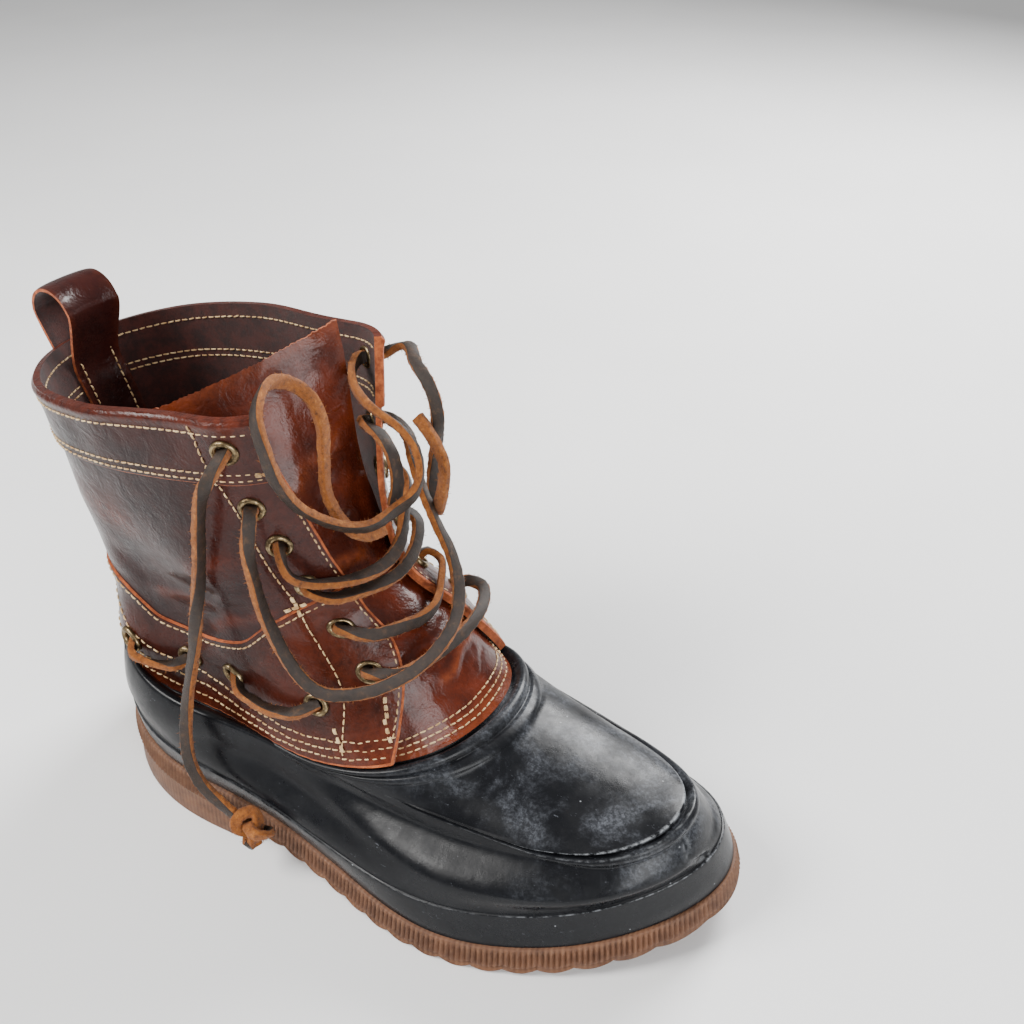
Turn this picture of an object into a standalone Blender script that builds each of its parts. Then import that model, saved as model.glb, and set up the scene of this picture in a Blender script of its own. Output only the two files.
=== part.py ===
# Duck boot for the right foot: rubber outsole and shell, leather upper, rawhide lace.
# Metres, +X to the toe, +Y to the wearer's left (the medial side), +Z up.
# The origin is on the floor under the centre of the heel.
import math

import bmesh
import bpy
import numpy as np
from mathutils import Matrix, Vector

# Driving sizes
SHELL_LENGTH = 0.298        # rubber shell, back of heel to tip of toe
BALL_WIDTH = 0.116          # width that the sections are shares of
SHAFT_HEIGHT = 0.213        # floor to the highest point of the collar
HEEL_CENTRE = 0.050         # from the back of the shell to the origin
GAP = 0.0003                # clearance between pieces that meet

# Walls
RUBBER_WALL = 0.0026        # shell
LEATHER_WALL = 0.0022       # quarters
OVERLAY = 0.0012            # saddle panel and collar band stand this much proud
TONGUE_WALL = 0.0018
TONGUE_LAY = 0.0006         # slack between the quarters and the tongue under them
FLANGE_WALL = 0.0014        # thin edge of the shell behind the stitched leather
INSOLE_WALL = 0.0030

# Shell details
LIP_PROUD = 0.0016          # rolled bead along the rim
RIDGE_PROUD = 0.0018        # moccasin ridge round the toe
FOXING_PROUD = 0.0009       # band between the sole and the foxing line

# Outsole
SOLE_THICKNESS = 0.0124     # under the arch and the ball
SOLE_LEDGE = 0.0012         # sole edge stands out past the shell
SOLE_FLARE = 0.0028         # further spread at the floor
RIB_DEPTH = 0.0010
HEEL_FRONT = 0.098          # heel block's front corner on the floor, from the shell's back
HEEL_SLANT = 0.010          # how far the front face leans forward at its top
BALL_REST = 0.205           # where the ball stands on the floor, from the shell's back
LUG_PITCH = 0.0135
LUG_GROOVE = 0.0040
LUG_DEPTH = 0.0020

# Trim
EYELET_OUTER = 0.0052
EYELET_INNER = 0.0030
EYELET_HEIGHT = 0.0013
EYELET_SEAT = 0.0005        # bedding under the flat ring on the curved leather
EYELET_SIDES = 8
STRAP_WIDTH = 0.025
STRAP_WALL = 0.0020
LOOP_RISE = 0.026           # pull loop above the collar
LOOP_LENGTH = 0.024         # pull loop front to back
LOOP_OFFSET = 0.003         # the loop sits a little to the medial side

# Divisions round the boot
SHELL_SEGMENTS = 48
UPPER_SEGMENTS = 40
TONGUE_SEGMENTS = 12
TONGUE_STEPS = 18

# The last: a row for each level from the feather edge (v = 0) to the collar (v = 1).
# back, front: shares of SHELL_LENGTH. Heights and sag: shares of SHAFT_HEIGHT.
# Widths and the sideways curve of the middle: shares of BALL_WIDTH.
LAST_COLUMNS = ("v", "back", "front", "back_z", "front_z", "rise", "sag", "follow",
                "heel_round", "heel", "waist", "ball", "toe_round", "mid_waist", "mid_ball", "mid_toe")
LAST_ROWS = (
    (0.00, 0.010, 1.000, 0.000, 0.000, 1.0, 0.000, 1.00, 0.690, 0.440, 0.390, 0.503, 0.600, -0.075, 0.010, 0.160),
    (0.06, 0.003, 0.983, 0.071, 0.086, 1.0, 0.017, 1.00, 0.650, 0.443, 0.414, 0.485, 0.576, -0.075, 0.011, 0.136),
    (0.14, 0.011, 0.975, 0.146, 0.116, 1.0, 0.005, 1.00, 0.628, 0.469, 0.370, 0.459, 0.587, -0.056, 0.002, 0.078),
    (0.24, 0.018, 0.949, 0.232, 0.181, 1.0, 0.034, 0.95, 0.607, 0.441, 0.357, 0.354, 0.484, -0.056, 0.016, 0.072),
    (0.42, 0.041, 0.665, 0.312, 0.323, 2.2, 0.102, 0.50, 0.621, 0.382, 0.379, 0.407, 0.609, -0.010, 0.016, 0.058),
    (0.54, 0.052, 0.574, 0.373, 0.466, 1.6, 0.053, 0.30, 0.521, 0.389, 0.345, 0.372, 0.484, -0.010, 0.029, 0.061),
    (0.66, 0.045, 0.500, 0.484, 0.565, 1.3, 0.026, 0.15, 0.428, 0.334, 0.354, 0.344, 0.410, 0.000, 0.019, 0.028),
    (0.83, 0.014, 0.472, 0.648, 0.705, 1.1, 0.010, 0.05, 0.424, 0.320, 0.392, 0.382, 0.428, 0.000, 0.010, 0.010),
    (1.00, -0.044, 0.453, 0.900, 1.000, 1.0, -0.012, 0.00, 0.430, 0.300, 0.431, 0.383, 0.658, 0.000, 0.016, 0.029),
)
# Where along each level the widths are given, as shares of its length
WIDTH_STATIONS = (0.0, 0.13, 0.42, 0.72, 1.0)

# Top face of the outsole: x as a share of SHELL_LENGTH, height as a share of SHAFT_HEIGHT
SOLE_LINE = ((0.0, 0.1325), (0.30, 0.1213), (0.50, 0.0726), (0.68, 0.0560), (0.85, 0.0714), (1.0, 0.1195))

# Levels (v) that the pieces share
RIM = 0.42                  # top of the rubber
FLANGE_TOP = 0.46
LEATHER_FOOT = 0.4245       # lower edge of the leather
FLANGE_STEP = 0.155         # turn from the front within which the flange lies deeper
FLANGE_EASE = 0.030         # and the turn over which it gets there
CUFF_LINE = 0.932           # lower edge of the collar band
FOXING_LINE = 0.058

# Front edge of the quarters: level, turn from the back (0.5 is the front)
THROAT_EDGE = ((0.4245, 0.388), (0.47, 0.412), (0.53, 0.436), (0.61, 0.452), (0.72, 0.450),
               (0.82, 0.440), (0.90, 0.427), (0.95, 0.418), (1.0, 0.415))
# Top line of the saddle panel: turn, level
PANEL_LINE = ((0.0, 0.735), (0.12, 0.722), (0.16, 0.690), (0.20, 0.625), (0.25, 0.604), (0.29, 0.613),
              (0.34, 0.660), (0.39, 0.700), (0.42, 0.716), (0.46, 0.728))
# Moccasin ridge: turn, level
RIDGE_LINE = ((0.0, 0.385), (0.30, 0.385), (0.345, 0.340), (0.375, 0.258), (0.42, 0.243), (0.5, 0.247))

# Tongue: level, lateral and medial turn, how far its edges stand inside the quarters' wall
# (shares of BALL_WIDTH), how far it hangs free of the wall between them (0 to 1) and how far
# it bows forward there (share of BALL_WIDTH)
TONGUE_COLUMNS = ("v", "lateral", "medial", "in_lateral", "in_medial", "free", "bow")
TONGUE_ROWS = (
    (0.425, 0.372, 0.628, 0.000, 0.000, 0.00, 0.000),
    (0.470, 0.385, 0.615, 0.000, 0.000, 0.00, 0.000),
    (0.560, 0.395, 0.605, 0.003, 0.003, 0.05, 0.010),
    (0.680, 0.395, 0.605, 0.006, 0.008, 0.25, 0.020),
    (0.790, 0.380, 0.606, 0.014, 0.022, 0.65, 0.030),
    (0.890, 0.340, 0.598, 0.045, 0.050, 0.95, 0.040),
    (0.960, 0.290, 0.590, 0.090, 0.080, 1.00, 0.035),
    (1.020, 0.245, 0.581, 0.130, 0.112, 1.00, 0.030),
)
TONGUE_TIP_DROP = 0.055     # the top edge falls this much (in v) from medial to lateral

# Lacing eyelets of the lateral side: turn, level. The medial side mirrors them.
LACE_EYELETS = ((0.375, 0.968), (0.379, 0.903), (0.392, 0.850), (0.404, 0.755), (0.412, 0.632), (0.407, 0.548))
# Side-lace eyelets: turn, level
SIDE_EYELETS = ((0.150, 0.560), (0.212, 0.548), (0.258, 0.536), (0.345, 0.518))

# Rawhide lace
LACE_DIAMETER = 0.0032
LACE_STEP = 0.0106          # between the points of a strand
STRAND_SEAT = 0.0004        # a strand's end stands this far off the leather in its eyelet
KNOT_SIZE = 0.0095
KNOT_WAIST = 0.12           # how deep the furrows between the knot's turns are
SIDE_LACE_SAG = 0.016       # how far, in level, a side lace droops between its eyelets
SIDE_LACE_PROUD = 0.0006

# Strands of the lace. Routes are in millimetres: x from the shell's back, y to the medial side,
# z from the floor. A bar crosses the throat from a lateral eyelet to the medial one opposite.
LACE_BARS = {
    3: ((132, -35.5, 147), (136, -29.5, 140.5), (142, -20, 137), (147, -10, 135.5), (150, 1, 136.5),
        (149, 11, 140), (144, 21, 145.5), (137, 33, 151.5)),
    4: ((142, -23.5, 131.5), (146.5, -13, 129.5), (150, -2, 128), (150.5, 10, 127.5), (147.5, 22, 129.5),
        (141.5, 32, 133.5)),
    5: ((155, -18, 114.5), (160.5, -8, 113.5), (164, 2, 112.5), (164, 12, 113), (159.5, 22, 115),
        (152.5, 32.5, 117)),
    6: ((169.5, -20, 102.5), (174, -8, 103), (176.5, 4, 103.5), (177, 17, 104), (175, 29, 104.5),
        (168, 40, 104)),
}
# Loops and ends that lie free: side, eyelet and face that each starts from, where it ends, then its route.
# The end falls down the side to its knot, the low cord bows over the bars, the high cord goes round the
# throat and over the lateral corner, the side cord hangs beside the throat, and the inner one joins them.
LACE_CORDS = {
    "cord_end": (("lateral", 1, "out"), None, (
        (111.5, -50, 186), (106.5, -50.5, 171), (103, -51, 153),
        (98, -50.8, 135), (93, -51, 118), (90, -53.5, 100), (88, -58, 84), (88, -63, 70), (89, -66.5, 58),
        (91, -68, 48), (96, -68.5, 40), (104, -68, 34), (113, -67.5, 29.5))),
    "cord_low": (("lateral", 2, "out"), ("medial", 2, "out"), (
        (124.5, -46, 162), (125, -46, 147), (127, -46, 134),
        (131, -45.5, 121), (136, -45, 111), (142, -44.2, 103.5), (149, -42, 99.5), (157, -37, 99),
        (166, -30, 101), (174, -20, 105), (178.5, -8, 110), (178, 5, 114.5), (173, 16, 121),
        (165, 23, 131), (156, 26, 142), (149, 28, 153), (142, 32, 163), (134, 39, 170))),
    "cord_high": (("medial", 1, "in"), None, (
        (118, 27.5, 199.5), (125, 21.5, 196), (135, 18, 193),
        (145, 19, 188.5), (152.5, 19.5, 181.5), (156, 18, 172), (155, 14, 163), (150, 7.5, 157),
        (148, -5, 157), (145, -16, 162.5), (140.5, -26, 171.5), (138, -33, 181), (136.5, -38, 193),
        (135.5, -40, 205), (131, -37.5, 215.5), (126, -29, 219.5), (122, -19, 218.5), (122.5, -10, 213.5),
        (126, -5, 206), (129, -4, 195.5), (130, -6.5, 181.5), (131.5, -9, 170), (135.5, -9.5, 161.5),
        (140, -7, 153), (143, 0, 147.5), (143.5, 8, 145.5))),
    "cord_side": (("medial", 1, "out"), None, (
        (128, 50.5, 203.5), (137, 44, 201), (146, 40, 195.5),
        (150, 38.5, 187), (149.5, 39, 178), (147, 41, 169), (144.5, 42, 159), (144, 41, 149),
        (146.5, 37.5, 141.5), (151, 33.5, 141.5), (154.5, 31, 148), (157.5, 30, 158), (158.5, 30, 169),
        (153.5, 30.5, 178.5), (145, 32.5, 185))),
    "cord_inner": (("medial", 2, "in"), None, (
        (127, 24.8, 178.5), (135, 22.5, 177), (141.5, 20, 171.5), (145, 17, 163.5), (145.5, 13, 154.5))),
}

# Colours
RUBBER = (0.020, 0.023, 0.028, 1.0)
GUM = (0.130, 0.075, 0.048, 1.0)
OXBLOOD = (0.060, 0.016, 0.012, 1.0)
CHESTNUT = (0.150, 0.035, 0.016, 1.0)
RAWHIDE = (0.330, 0.130, 0.035, 1.0)
BRASS = (0.300, 0.240, 0.160, 1.0)
FELT = (0.090, 0.045, 0.030, 1.0)


# Curves through tables

def smooth(knots, values, at):
    """Monotone cubic through a table, as a draughtsman's spline that never overshoots."""
    knots = np.asarray(knots, float)
    values = np.asarray(values, float)
    at = np.clip(at, knots[0], knots[-1])
    step = np.diff(knots)
    tall = (len(step),) + (1,) * (values.ndim - 1)
    slope = np.diff(values, axis=0) / step.reshape(tall)
    tangent = np.zeros_like(values)
    tangent[0] = slope[0]
    tangent[-1] = slope[-1]
    for i in range(1, len(knots) - 1):
        before = 2 * step[i] + step[i - 1]
        after = step[i] + 2 * step[i - 1]
        same = slope[i - 1] * slope[i] > 0
        safe_a = np.where(same, slope[i - 1], 1)
        safe_b = np.where(same, slope[i], 1)
        tangent[i] = np.where(same, (before + after) / (before / safe_a + after / safe_b), 0)
    cell = np.clip(np.searchsorted(knots, at, side="right") - 1, 0, len(step) - 1)
    u = (at - knots[cell]) / step[cell]
    width = step[cell]
    if values.ndim > 1:
        u = u[..., None]
        width = width[..., None]
    return hermite(u, width, values[cell], values[cell + 1], tangent[cell], tangent[cell + 1])


def hermite(u, width, start, end, start_slope, end_slope):
    return ((2 * u**3 - 3 * u**2 + 1) * start + (u**3 - 2 * u**2 + u) * width * start_slope
            + (3 * u**2 - 2 * u**3) * end + (u**3 - u**2) * width * end_slope)


def along(share, values):
    """Cubic through the five width stations of a level."""
    result = np.zeros(share.shape)
    last = len(WIDTH_STATIONS) - 1
    slopes = []
    for i in range(last + 1):
        a = max(i - 1, 0)
        b = min(i + 1, last)
        slopes.append((values[b] - values[a]) / (WIDTH_STATIONS[b] - WIDTH_STATIONS[a]))
    for i in range(last):
        low = WIDTH_STATIONS[i]
        high = WIDTH_STATIONS[i + 1]
        piece = hermite((share - low) / (high - low), high - low, values[i], values[i + 1], slopes[i], slopes[i + 1])
        result = np.where((share >= low) & (share <= high), piece, result)
    return result


def column(pairs, at):
    """Reads a two-column table."""
    return smooth([p[0] for p in pairs], [p[1] for p in pairs], at)


def sole_top(x):
    """Height of the outsole's top face, x measured from the shell's back."""
    return SHAFT_HEIGHT * column(SOLE_LINE, x / SHELL_LENGTH)


# The last

LAST_LEVELS = [row[0] for row in LAST_ROWS]
LAST_VALUES = [row[1:] for row in LAST_ROWS]


def level_point(turn, v):
    """Point of the last, for levels 0 to 1. Turn 0 is the back, 0.25 lateral, 0.5 the front, 0.75 medial."""
    rows = smooth(LAST_LEVELS, LAST_VALUES, v)
    value = {name: rows[..., i] for i, name in enumerate(LAST_COLUMNS[1:])}
    angle = 2 * math.pi * turn
    share = (1 - np.cos(angle)) / 2
    names = ("heel_round", "heel", "waist", "ball", "toe_round")
    inner = [2 * math.sqrt(k * (1 - k)) for k in WIDTH_STATIONS[1:4]]
    widths = [value[name] / k for name, k in zip(names, [1.0] + inner + [1.0])]
    zero = np.zeros(share.shape)
    middle = along(share, [zero, zero, value["mid_waist"], value["mid_ball"], value["mid_toe"]])
    x = (value["back"] + (value["front"] - value["back"]) * share) * SHELL_LENGTH
    y = (middle - np.sin(angle) * along(share, widths)) * BALL_WIDTH
    climb = value["back_z"] + (value["front_z"] - value["back_z"]) * share ** value["rise"]
    dip = value["sag"] * 4 * share * (1 - share) * (1 - 0.3 * share)
    z = (climb - dip) * SHAFT_HEIGHT + value["follow"] * sole_top(x)
    return np.stack([x, y, z], -1)


def last_point(turn, v):
    """Point of the last; above the collar it carries straight on."""
    turn, v = np.broadcast_arrays(np.asarray(turn, float), np.asarray(v, float))
    inside = np.clip(v, 0, 1)
    point = level_point(turn, inside)
    small = 0.01
    rise = (level_point(turn, np.full(v.shape, 1.0)) - level_point(turn, np.full(v.shape, 1 - small))) / small
    return point + rise * (v - inside)[..., None]


def last_normal(turn, v):
    turn, v = np.broadcast_arrays(np.asarray(turn, float), np.asarray(v, float))
    small = 0.002
    across = last_point(turn + small, v) - last_point(turn - small, v)
    up = last_point(turn, v + small) - last_point(turn, np.maximum(v - small, 0))
    normal = np.cross(across, up)
    return normal / np.linalg.norm(normal, axis=-1, keepdims=True)


def skin(turn, v, proud):
    """Point standing proud of the last, in the part's frame."""
    point = last_point(turn, v) + last_normal(turn, v) * np.asarray(proud)[..., None]
    return point - np.array([HEEL_CENTRE, 0, 0])


# Meshes

def material(name, colour, roughness, metallic=0.0):
    made = bpy.data.materials.new(name)
    made.use_nodes = True
    shader = made.node_tree.nodes["Principled BSDF"]
    shader.inputs["Base Color"].default_value = colour
    shader.inputs["Roughness"].default_value = roughness
    shader.inputs["Metallic"].default_value = metallic
    return made


def add_object(name, mesh_maker, finish, sharp=40):
    """Makes an object from a bmesh, with its faces out and smooth shading."""
    mesh = bpy.data.meshes.new(name)
    bmesh.ops.recalc_face_normals(mesh_maker, faces=mesh_maker.faces)
    mesh_maker.to_mesh(mesh)
    mesh_maker.free()
    mesh.materials.append(finish)
    mesh.shade_smooth()
    mesh.set_sharp_from_angle(angle=math.radians(sharp))
    made = bpy.data.objects.new(name, mesh)
    bpy.context.collection.objects.link(made)
    return made


def grid_faces(maker, rows, wrap):
    """Skins rows of vertices with quads."""
    count = len(rows[0])
    steps = count if wrap else count - 1
    for low, high in zip(rows, rows[1:]):
        for j in range(steps):
            k = (j + 1) % count
            maker.faces.new((low[j], low[k], high[k], high[j]))


def walled(outer, inner, wrap):
    """Closed wall between two grids of points, rows from bottom to top."""
    maker = bmesh.new()
    outside = [[maker.verts.new(p) for p in row] for row in outer]
    inside = [[maker.verts.new(p) for p in row] for row in inner]
    grid_faces(maker, outside, wrap)
    grid_faces(maker, [list(reversed(row)) for row in inside], wrap)
    grid_faces(maker, [inside[0], outside[0]], wrap)
    grid_faces(maker, [outside[-1], inside[-1]], wrap)
    if not wrap:
        first = [[row[0] for row in inside], [row[0] for row in outside]]
        final = [[row[-1] for row in outside], [row[-1] for row in inside]]
        grid_faces(maker, first, False)
        grid_faces(maker, final, False)
    return maker


def slab(rings):
    """Closed solid from rings (bottom to top) whose ends are filled across, lateral to medial."""
    maker = bmesh.new()
    rows = [[maker.verts.new(p) for p in ring] for ring in rings]
    grid_faces(maker, rows, True)
    count = len(rings[0])
    half = count // 2
    for ring in (rows[0], rows[-1]):
        for i in range(half):
            corners = [ring[i], ring[i + 1], ring[(count - i - 1) % count], ring[(count - i) % count]]
            unique = list(dict.fromkeys(corners))
            maker.faces.new(unique)
    return maker


# Outsole

def sole_turns():
    """Turns round the outline, the same lateral and medial, with stations at the heel's front corners."""
    count = SHELL_SEGMENTS // 2
    halves = [math.pi * i / count for i in range(count + 1)]
    back = LAST_ROWS[0][1] * SHELL_LENGTH
    front = LAST_ROWS[0][2] * SHELL_LENGTH
    for corner in (HEEL_FRONT, HEEL_FRONT + HEEL_SLANT):
        angle = math.acos(1 - 2 * (corner - back) / (front - back))
        nearest = min(range(1, count), key=lambda i: abs(halves[i] - angle))
        halves[nearest] = angle
    lateral = [angle / (2 * math.pi) for angle in sorted(halves)]
    return np.array(lateral + [1 - t for t in reversed(lateral[1:-1])])


def sole_bottom(x):
    """Underside of the outsole, x measured from the shell's back."""
    arch = np.maximum(sole_top(x) - SOLE_THICKNESS, 0)
    share = np.clip((x - HEEL_FRONT) / HEEL_SLANT, 0, 1)
    return np.where(x < HEEL_FRONT + HEEL_SLANT, arch * share, arch)


def sole_ring(turns, down, proud):
    """A ring of the sole's side, a share of the way down from its top to the floor side."""
    point = last_point(turns, 0.0)
    normal = last_normal(turns, 0.0)
    normal[:, 2] = 0
    normal /= np.linalg.norm(normal, axis=-1, keepdims=True)
    top = sole_top(point[:, 0]) - GAP
    bottom = sole_bottom(point[:, 0])
    point = point + normal * proud
    point[:, 2] = top + (bottom - top) * down
    return point - np.array([HEEL_CENTRE, 0, 0])


def groove_cutter(name, places):
    """One wire object of boxes that cut the tread's grooves from below."""
    maker = bmesh.new()
    for x in places:
        depth = 2 * LUG_DEPTH
        centre = Vector((x - HEEL_CENTRE, 0, float(sole_bottom(np.array(x)))))
        here = Matrix.Translation(centre) @ Matrix.Diagonal((LUG_GROOVE, 2 * BALL_WIDTH, depth, 1))
        bmesh.ops.create_cube(maker, size=1.0, matrix=here)
    cutter = add_object(name, maker, bpy.data.materials["gum_rubber"])
    cutter.hide_render = True
    cutter.display_type = "WIRE"
    return cutter


def make_outsole(gum):
    turns = sole_turns()
    # share of the way down, spread past the shell
    profile = ((0.0, SOLE_LEDGE), (0.08, SOLE_LEDGE + RIB_DEPTH), (0.40, SOLE_LEDGE + RIB_DEPTH),
               (0.46, SOLE_LEDGE), (0.54, SOLE_LEDGE + RIB_DEPTH), (1.0, SOLE_LEDGE + SOLE_FLARE))
    rings = [sole_ring(turns, down, proud) for down, proud in reversed(profile)]
    body = add_object("outsole", slab(rings), gum)
    heel_grooves = [HEEL_CENTRE + LUG_PITCH * (i + 0.5) for i in range(-3, 3)]
    ball_grooves = [BALL_REST + LUG_PITCH * (i + 0.5) for i in range(-6, 6)]
    cutter = groove_cutter("tread_cutter", heel_grooves + ball_grooves)
    cut = body.modifiers.new("tread", "BOOLEAN")
    cut.operation = "DIFFERENCE"
    cut.object = cutter
    cut.solver = "EXACT"


# Shell

def flange_depth(turn):
    """The flange lies deeper at the front, where tongue and quarters both cover it."""
    past_front = (turn + 0.5) % 1.0
    from_front = np.minimum(past_front, 1 - past_front)
    deep = np.clip((FLANGE_STEP - from_front) / FLANGE_EASE, 0, 1)
    return LEATHER_WALL + GAP + deep * (TONGUE_LAY + TONGUE_WALL + 2 * GAP)


def shell_rows(turns):
    """Levels of the shell's rows at each turn, with what stands proud outside and inside."""
    folded = np.minimum(turns % 1.0, 1 - turns % 1.0)
    ridge = column(RIDGE_LINE, folded)
    high = RIDGE_PROUD * np.clip((folded - 0.32) / 0.04, 0, 1)
    deep = flange_depth(turns)
    none = np.zeros(turns.shape)
    wall = none - RUBBER_WALL
    # level, outside, inside
    return [
        (none, none + FOXING_PROUD * 0.5, wall),
        (none + 0.020, none + FOXING_PROUD, wall),
        (none + FOXING_LINE - 0.004, none + FOXING_PROUD, wall),
        (none + FOXING_LINE + 0.004, none, wall),
        (none + 0.14, none, wall),
        (ridge - 0.024, none, wall),
        (ridge - 0.007, high, wall),
        (ridge + 0.007, high, wall),
        (ridge + 0.020, none, wall),
        (none + RIM - 0.018, none, -deep - FLANGE_WALL),
        (none + RIM - 0.014, none + LIP_PROUD, -deep - FLANGE_WALL),
        (none + RIM, none + LIP_PROUD, -deep - FLANGE_WALL),
        (none + RIM + 0.0008, -deep, -deep - FLANGE_WALL),
        (none + FLANGE_TOP, -deep, -deep - FLANGE_WALL),
    ]


def make_shell(rubber):
    turns = sole_turns()
    rows = shell_rows(turns)
    outer = [skin(turns, v, outside) for v, outside, inside in rows]
    inner = [skin(turns, v, inside) for v, outside, inside in rows]
    for foot in (outer[0], inner[0]):
        foot[:, 2] = sole_top(foot[:, 0] + HEEL_CENTRE)
    add_object("shell", walled(outer, inner, True), rubber)


def make_insole(felt):
    turns = sole_turns()
    edge = -(RUBBER_WALL + 4 * GAP)
    rings = []
    for height, inset in ((0.0, 0.0), (INSOLE_WALL, 0.0)):
        ring = skin(turns, np.zeros(turns.shape), np.full(turns.shape, edge - inset))
        ring[:, 2] = sole_top(ring[:, 0] + HEEL_CENTRE) + height
        rings.append(ring)
    add_object("insole", slab(rings), felt)


# Upper

def quarter_rows():
    """Rows of the upper: level at each turn, outside and inside of the wall."""
    rows = []
    foot = LEATHER_FOOT
    for share in (0.0, 0.14, 0.30, 0.46, 0.62, 0.78, 0.94):
        rows.append(("panel", share, OVERLAY))
    rows.append(("panel", 1.0, 0.0))
    for share in (0.14, 0.36, 0.60, 0.84):
        rows.append(("shaft", share, 0.0))
    for v, proud in ((CUFF_LINE - 0.003, 0.0), (CUFF_LINE + 0.003, OVERLAY), (0.965, OVERLAY),
                     (0.994, OVERLAY), (1.0, OVERLAY * 0.3)):
        rows.append(("level", v, proud))
    return foot, rows


def upper_point(turn, kind, amount, foot):
    """Level of a row at a turn, either side."""
    line = column(PANEL_LINE, np.abs(turn))
    if kind == "panel":
        return foot + (line - foot) * amount
    if kind == "shaft":
        return line + (CUFF_LINE - line) * amount
    return np.full(turn.shape, amount)


def make_quarters(leather):
    foot, rows = quarter_rows()
    spread = np.linspace(-1, 1, UPPER_SEGMENTS + 1)
    outer = []
    inner = []
    for kind, amount, proud in rows:
        rough = upper_point(spread * 0.44, kind, amount, foot)
        turn = spread * column(THROAT_EDGE, rough)
        v = upper_point(turn, kind, amount, foot)
        outer.append(skin(turn, v, np.full(turn.shape, proud)))
        inner.append(skin(turn, v, np.full(turn.shape, -LEATHER_WALL)))
    add_object("quarters", walled(outer, inner, False), leather)


def tongue_sheet(across, share):
    """Outer face of the vamp and tongue, for shares across (-1 lateral, 1 medial) and up (0 to 1).
    Low down it follows the wall, and higher up it hangs between its two edges, bowed forward."""
    levels = [row[0] for row in TONGUE_ROWS]
    values = [row[1:] for row in TONGUE_ROWS]
    base = levels[0] + (levels[-1] - levels[0]) * share
    read = smooth(levels, values, base)
    row = {name: read[..., i] for i, name in enumerate(TONGUE_COLUMNS[1:])}
    depth = LEATHER_WALL + GAP + TONGUE_LAY
    low = base - TONGUE_TIP_DROP * share ** 2
    left = skin(row["lateral"], low, -depth - row["in_lateral"] * BALL_WIDTH)
    right = skin(row["medial"], base, -depth - row["in_medial"] * BALL_WIDTH)
    half = (across + 1) / 2
    inset = row["in_lateral"] + (row["in_medial"] - row["in_lateral"]) * half
    turn = row["lateral"] + (row["medial"] - row["lateral"]) * half
    wall = skin(turn, low + (base - low) * half, -depth - inset * BALL_WIDTH)
    run = right - left
    ahead = np.stack([run[..., 1], -run[..., 0], np.zeros(share.shape)], -1)
    ahead /= np.linalg.norm(ahead, axis=-1, keepdims=True)
    bow = row["bow"] * BALL_WIDTH * (1 - across ** 2)
    chord = left + run * half[..., None] + ahead * bow[..., None]
    return wall + (chord - wall) * row["free"][..., None]


def grid_normals(points):
    """Outward directions of a grid whose rows climb and whose columns go round the boot."""
    normal = np.cross(np.gradient(points, axis=1), np.gradient(points, axis=0))
    return normal / np.linalg.norm(normal, axis=-1, keepdims=True)


def make_tongue(leather):
    across, share = np.meshgrid(np.linspace(-1, 1, TONGUE_SEGMENTS + 1), np.linspace(0, 1, TONGUE_STEPS))
    outer = tongue_sheet(across, share)
    inner = outer - grid_normals(outer) * TONGUE_WALL
    add_object("vamp_tongue", walled(outer, inner, False), leather)


# Pull loop and backstay

def make_pull_loop(leather):
    """A strap that runs up the back seam, over the collar in a loop and down inside."""
    half_turn = STRAP_WIDTH / 2 / (2 * math.pi * LAST_ROWS[-1][8] * BALL_WIDTH)
    shift = -LOOP_OFFSET / (2 * math.pi * LAST_ROWS[-1][8] * BALL_WIDTH)
    turns = shift + np.linspace(-half_turn, half_turn, 5)
    near = []
    far = []
    outside = OVERLAY + GAP
    for v in (0.46, 0.55, 0.64, 0.73, 0.80, 0.87, 0.93, 0.985):
        near.append(skin(turns, np.full(5, v), np.full(5, outside)))
        far.append(skin(turns, np.full(5, v), np.full(5, outside + STRAP_WALL)))
    low = skin(turns, np.full(5, 1.0), np.full(5, -LEATHER_WALL / 2))
    centre = low + np.array([0.0, 0.0, LOOP_RISE - LOOP_LENGTH / 2])
    radius = LOOP_LENGTH / 2
    for degrees in (200, 170, 140, 110, 80, 50, 20, -10):
        way = np.array([math.cos(math.radians(degrees)), 0, math.sin(math.radians(degrees))])
        near.append(centre + way * (radius - STRAP_WALL))
        far.append(centre + way * radius)
    inside = -LEATHER_WALL - GAP
    for v in (0.97, 0.93, 0.88, 0.83):
        near.append(skin(turns, np.full(5, v), np.full(5, inside)))
        far.append(skin(turns, np.full(5, v), np.full(5, inside - STRAP_WALL)))
    add_object("pull_loop", walled(far, near, False), leather)


# Eyelets

def speeds(turn, v):
    """Metres that the last's surface runs for one turn and for one level."""
    small = 0.002
    across = last_point(turn + small, v) - last_point(turn - small, v)
    up = last_point(turn, v + small) - last_point(turn, v - small)
    return np.linalg.norm(across) / (2 * small), np.linalg.norm(up) / (2 * small)


def make_eyelet(name, turn, v, brass):
    """A brass ring with a low rounded rim, bedded on the curve of the leather."""
    panel = column(PANEL_LINE, abs(turn))
    proud = OVERLAY if v < panel or v > CUFF_LINE else 0.0
    per_turn, per_level = speeds(turn, v)
    middle = (EYELET_OUTER + EYELET_INNER) / 2
    profile = ((EYELET_INNER, 0.0), (EYELET_OUTER, 0.0), (middle, EYELET_HEIGHT), (EYELET_INNER, EYELET_HEIGHT * 0.5))
    maker = bmesh.new()
    rings = []
    for i in range(EYELET_SIDES):
        angle = 2 * math.pi * i / EYELET_SIDES
        radius = np.array([r for r, h in profile])
        height = np.array([h for r, h in profile])
        points = skin(turn + radius * math.cos(angle) / per_turn, v + radius * math.sin(angle) / per_level,
                      proud + EYELET_SEAT + height)
        rings.append([maker.verts.new(p) for p in points])
    rings.append(rings[0])
    closed = [ring + ring[:1] for ring in rings]
    grid_faces(maker, closed, False)
    add_object(name, maker, brass)


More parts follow.
